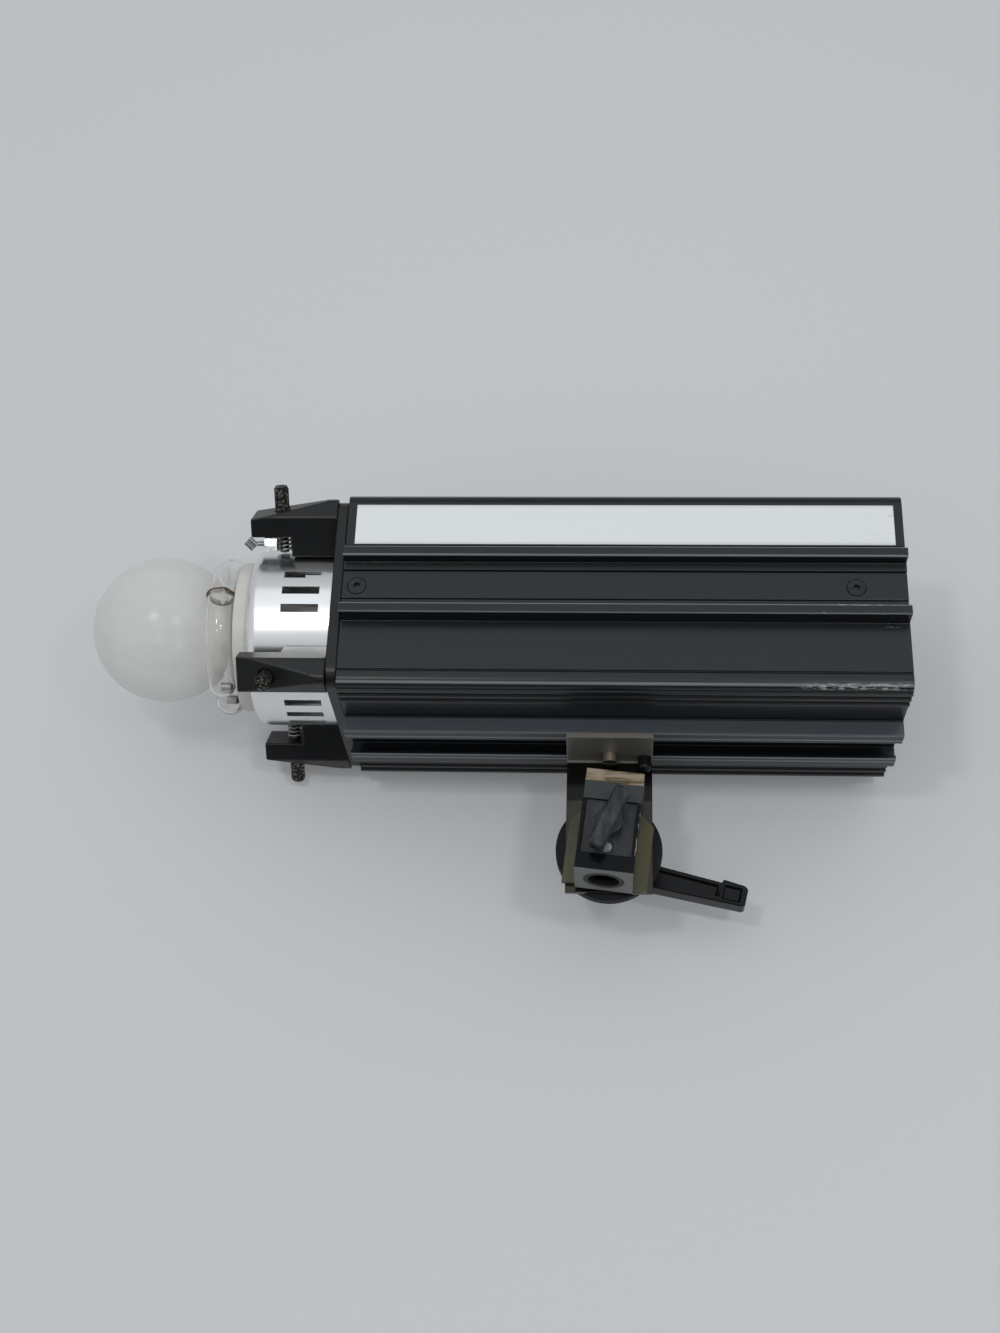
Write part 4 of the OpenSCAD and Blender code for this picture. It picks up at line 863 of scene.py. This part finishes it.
def backdrop(s):
    # the pale table top that the strobe lies on, with a soft shadow: seen from the strobe's side only
    f = Finish("paleTable", s["low"], 0.8)
    x, y, z = f.axes()
    colour = f.mix(z.step(*s["fade"]), s["low"], s["high"])
    f.put("Base Color", f.mix(f.noise(1.1, detail=2.0) * 0.12, s["lit"], s["patch"]))
    f.bump(f.noise(900.0), 0.02, 0.2)
    pale = f.add("ShaderNodeEmission", inputs={"Color": colour, "Strength": 1.0})
    even = seenRays(f, "Camera", "Glossy", "Transmission") * s["even"]
    shown = f.add("ShaderNodeMixShader", inputs={0: even, 1: Signal(f, f.shader.outputs[0]), 2: pale})
    clear = f.add("ShaderNodeBsdfTransparent")
    behind = f.add("ShaderNodeNewGeometry", output="Backfacing")
    oneSided = f.add("ShaderNodeMixShader", inputs={0: behind, 1: shown, 2: clear})
    f.tree.links.new(oneSided.socket, f.tree.nodes["Material Output"].inputs["Surface"])
    r, y = s["reach"], s["behind"] * mm
    mesh = bpy.data.meshes.new("table")
    mesh.from_pydata([(-r, y, -r), (r, y, -r), (r, y, r), (-r, y, r)], [], [(0, 1, 2, 3)])
    mesh.materials.append(f.material)
    table = bpy.data.objects.new("table", mesh)
    bpy.context.scene.collection.objects.link(table)


def areaLight(name, place, size, power, colour, target=(0, 0, 0.12)):
    data = bpy.data.lights.new(name, "AREA")
    data.shape, data.size, data.size_y = "RECTANGLE", size[0], size[1]
    data.energy, data.color = power, colour
    lamp = bpy.data.objects.new(name, data)
    lamp.location = place
    lamp.rotation_mode = "QUATERNION"
    lamp.rotation_quaternion = (Vector(target) - Vector(place)).to_track_quat("-Z", "Y")
    bpy.context.scene.collection.objects.link(lamp)


# place, size, power and colour of each light
lightRig = dict(
    window=((-0.1, -1.7, 0.80), (2.6, 1.2), 3.8, (0.90, 0.96, 1.0)),
    lampLeft=((-0.444, -1.57, -0.008), (0.14, 0.14), 3.0, (1.0, 0.995, 0.98)),
    lampRight=((0.522, -1.366, -0.144), (0.14, 0.14), 2.3, (1.0, 0.995, 0.98)),
)
roomSize = dict(front=0.63, lessAbove=0.12, lessBelow=0.56, below=(-0.55, -0.85), tint=(0.955, 0.98, 1.0),
                seen=(0.575, 0.585, 0.60))
cameraSize = dict(place=(0.001458, -0.85925, -0.302165), right=(0.99806, 0.05237, 0.03367),
                  down=(0.00711, 0.44146, -0.89725), ahead=(-0.06186, 0.89575, 0.44023),
                  lens=48.03, sensor=36.0, shift=(0.0017, 0.0009), clip=(0.05, 50.0))


def room(s):
    # even light from all round, weaker overhead and dark underfoot; the camera sees a pale wall
    world = bpy.data.worlds.new("room")
    bpy.context.scene.world = world
    world.use_nodes = True
    n = Nodes(world.node_tree)
    up = n.split(n.add("ShaderNodeTexCoord", output="Generated"))[2]
    strength = s["front"] - up.larger(0.0) * s["lessAbove"] - up.step(*s["below"]) * s["lessBelow"]
    soft = n.add("ShaderNodeBackground", inputs={"Color": (*s["tint"], 1.0), "Strength": strength})
    wall = n.add("ShaderNodeBackground", inputs={"Color": (*s["seen"], 1.0), "Strength": 1.0})
    seen = seenRays(n, "Camera", "Transmission")
    both = n.add("ShaderNodeMixShader", inputs={0: seen, 1: soft, 2: wall})
    n.tree.links.new(both.socket, n.tree.nodes["World Output"].inputs["Surface"])


def placeCamera(c):
    # the camera's axes in the shared frame: right, down and ahead
    view = bpy.data.cameras.new("view")
    view.sensor_width, view.lens = c["sensor"], c["lens"]
    view.shift_x, view.shift_y = c["shift"]
    view.clip_start, view.clip_end = c["clip"]
    camera = bpy.data.objects.new("view", view)
    turn = Matrix([c["right"], [-v for v in c["down"]], [-v for v in c["ahead"]]]).transposed().to_4x4()
    camera.matrix_world = Matrix.Translation(c["place"]) @ turn
    bpy.context.scene.collection.objects.link(camera)
    bpy.context.scene.camera = camera


backdrop(tableSize)
for name, (place, size, power, colour) in lightRig.items():
    areaLight(name, place, size, power, colour)
room(roomSize)
placeCamera(cameraSize)
bpy.context.scene.view_settings.view_transform = "Standard"
print("stage set")
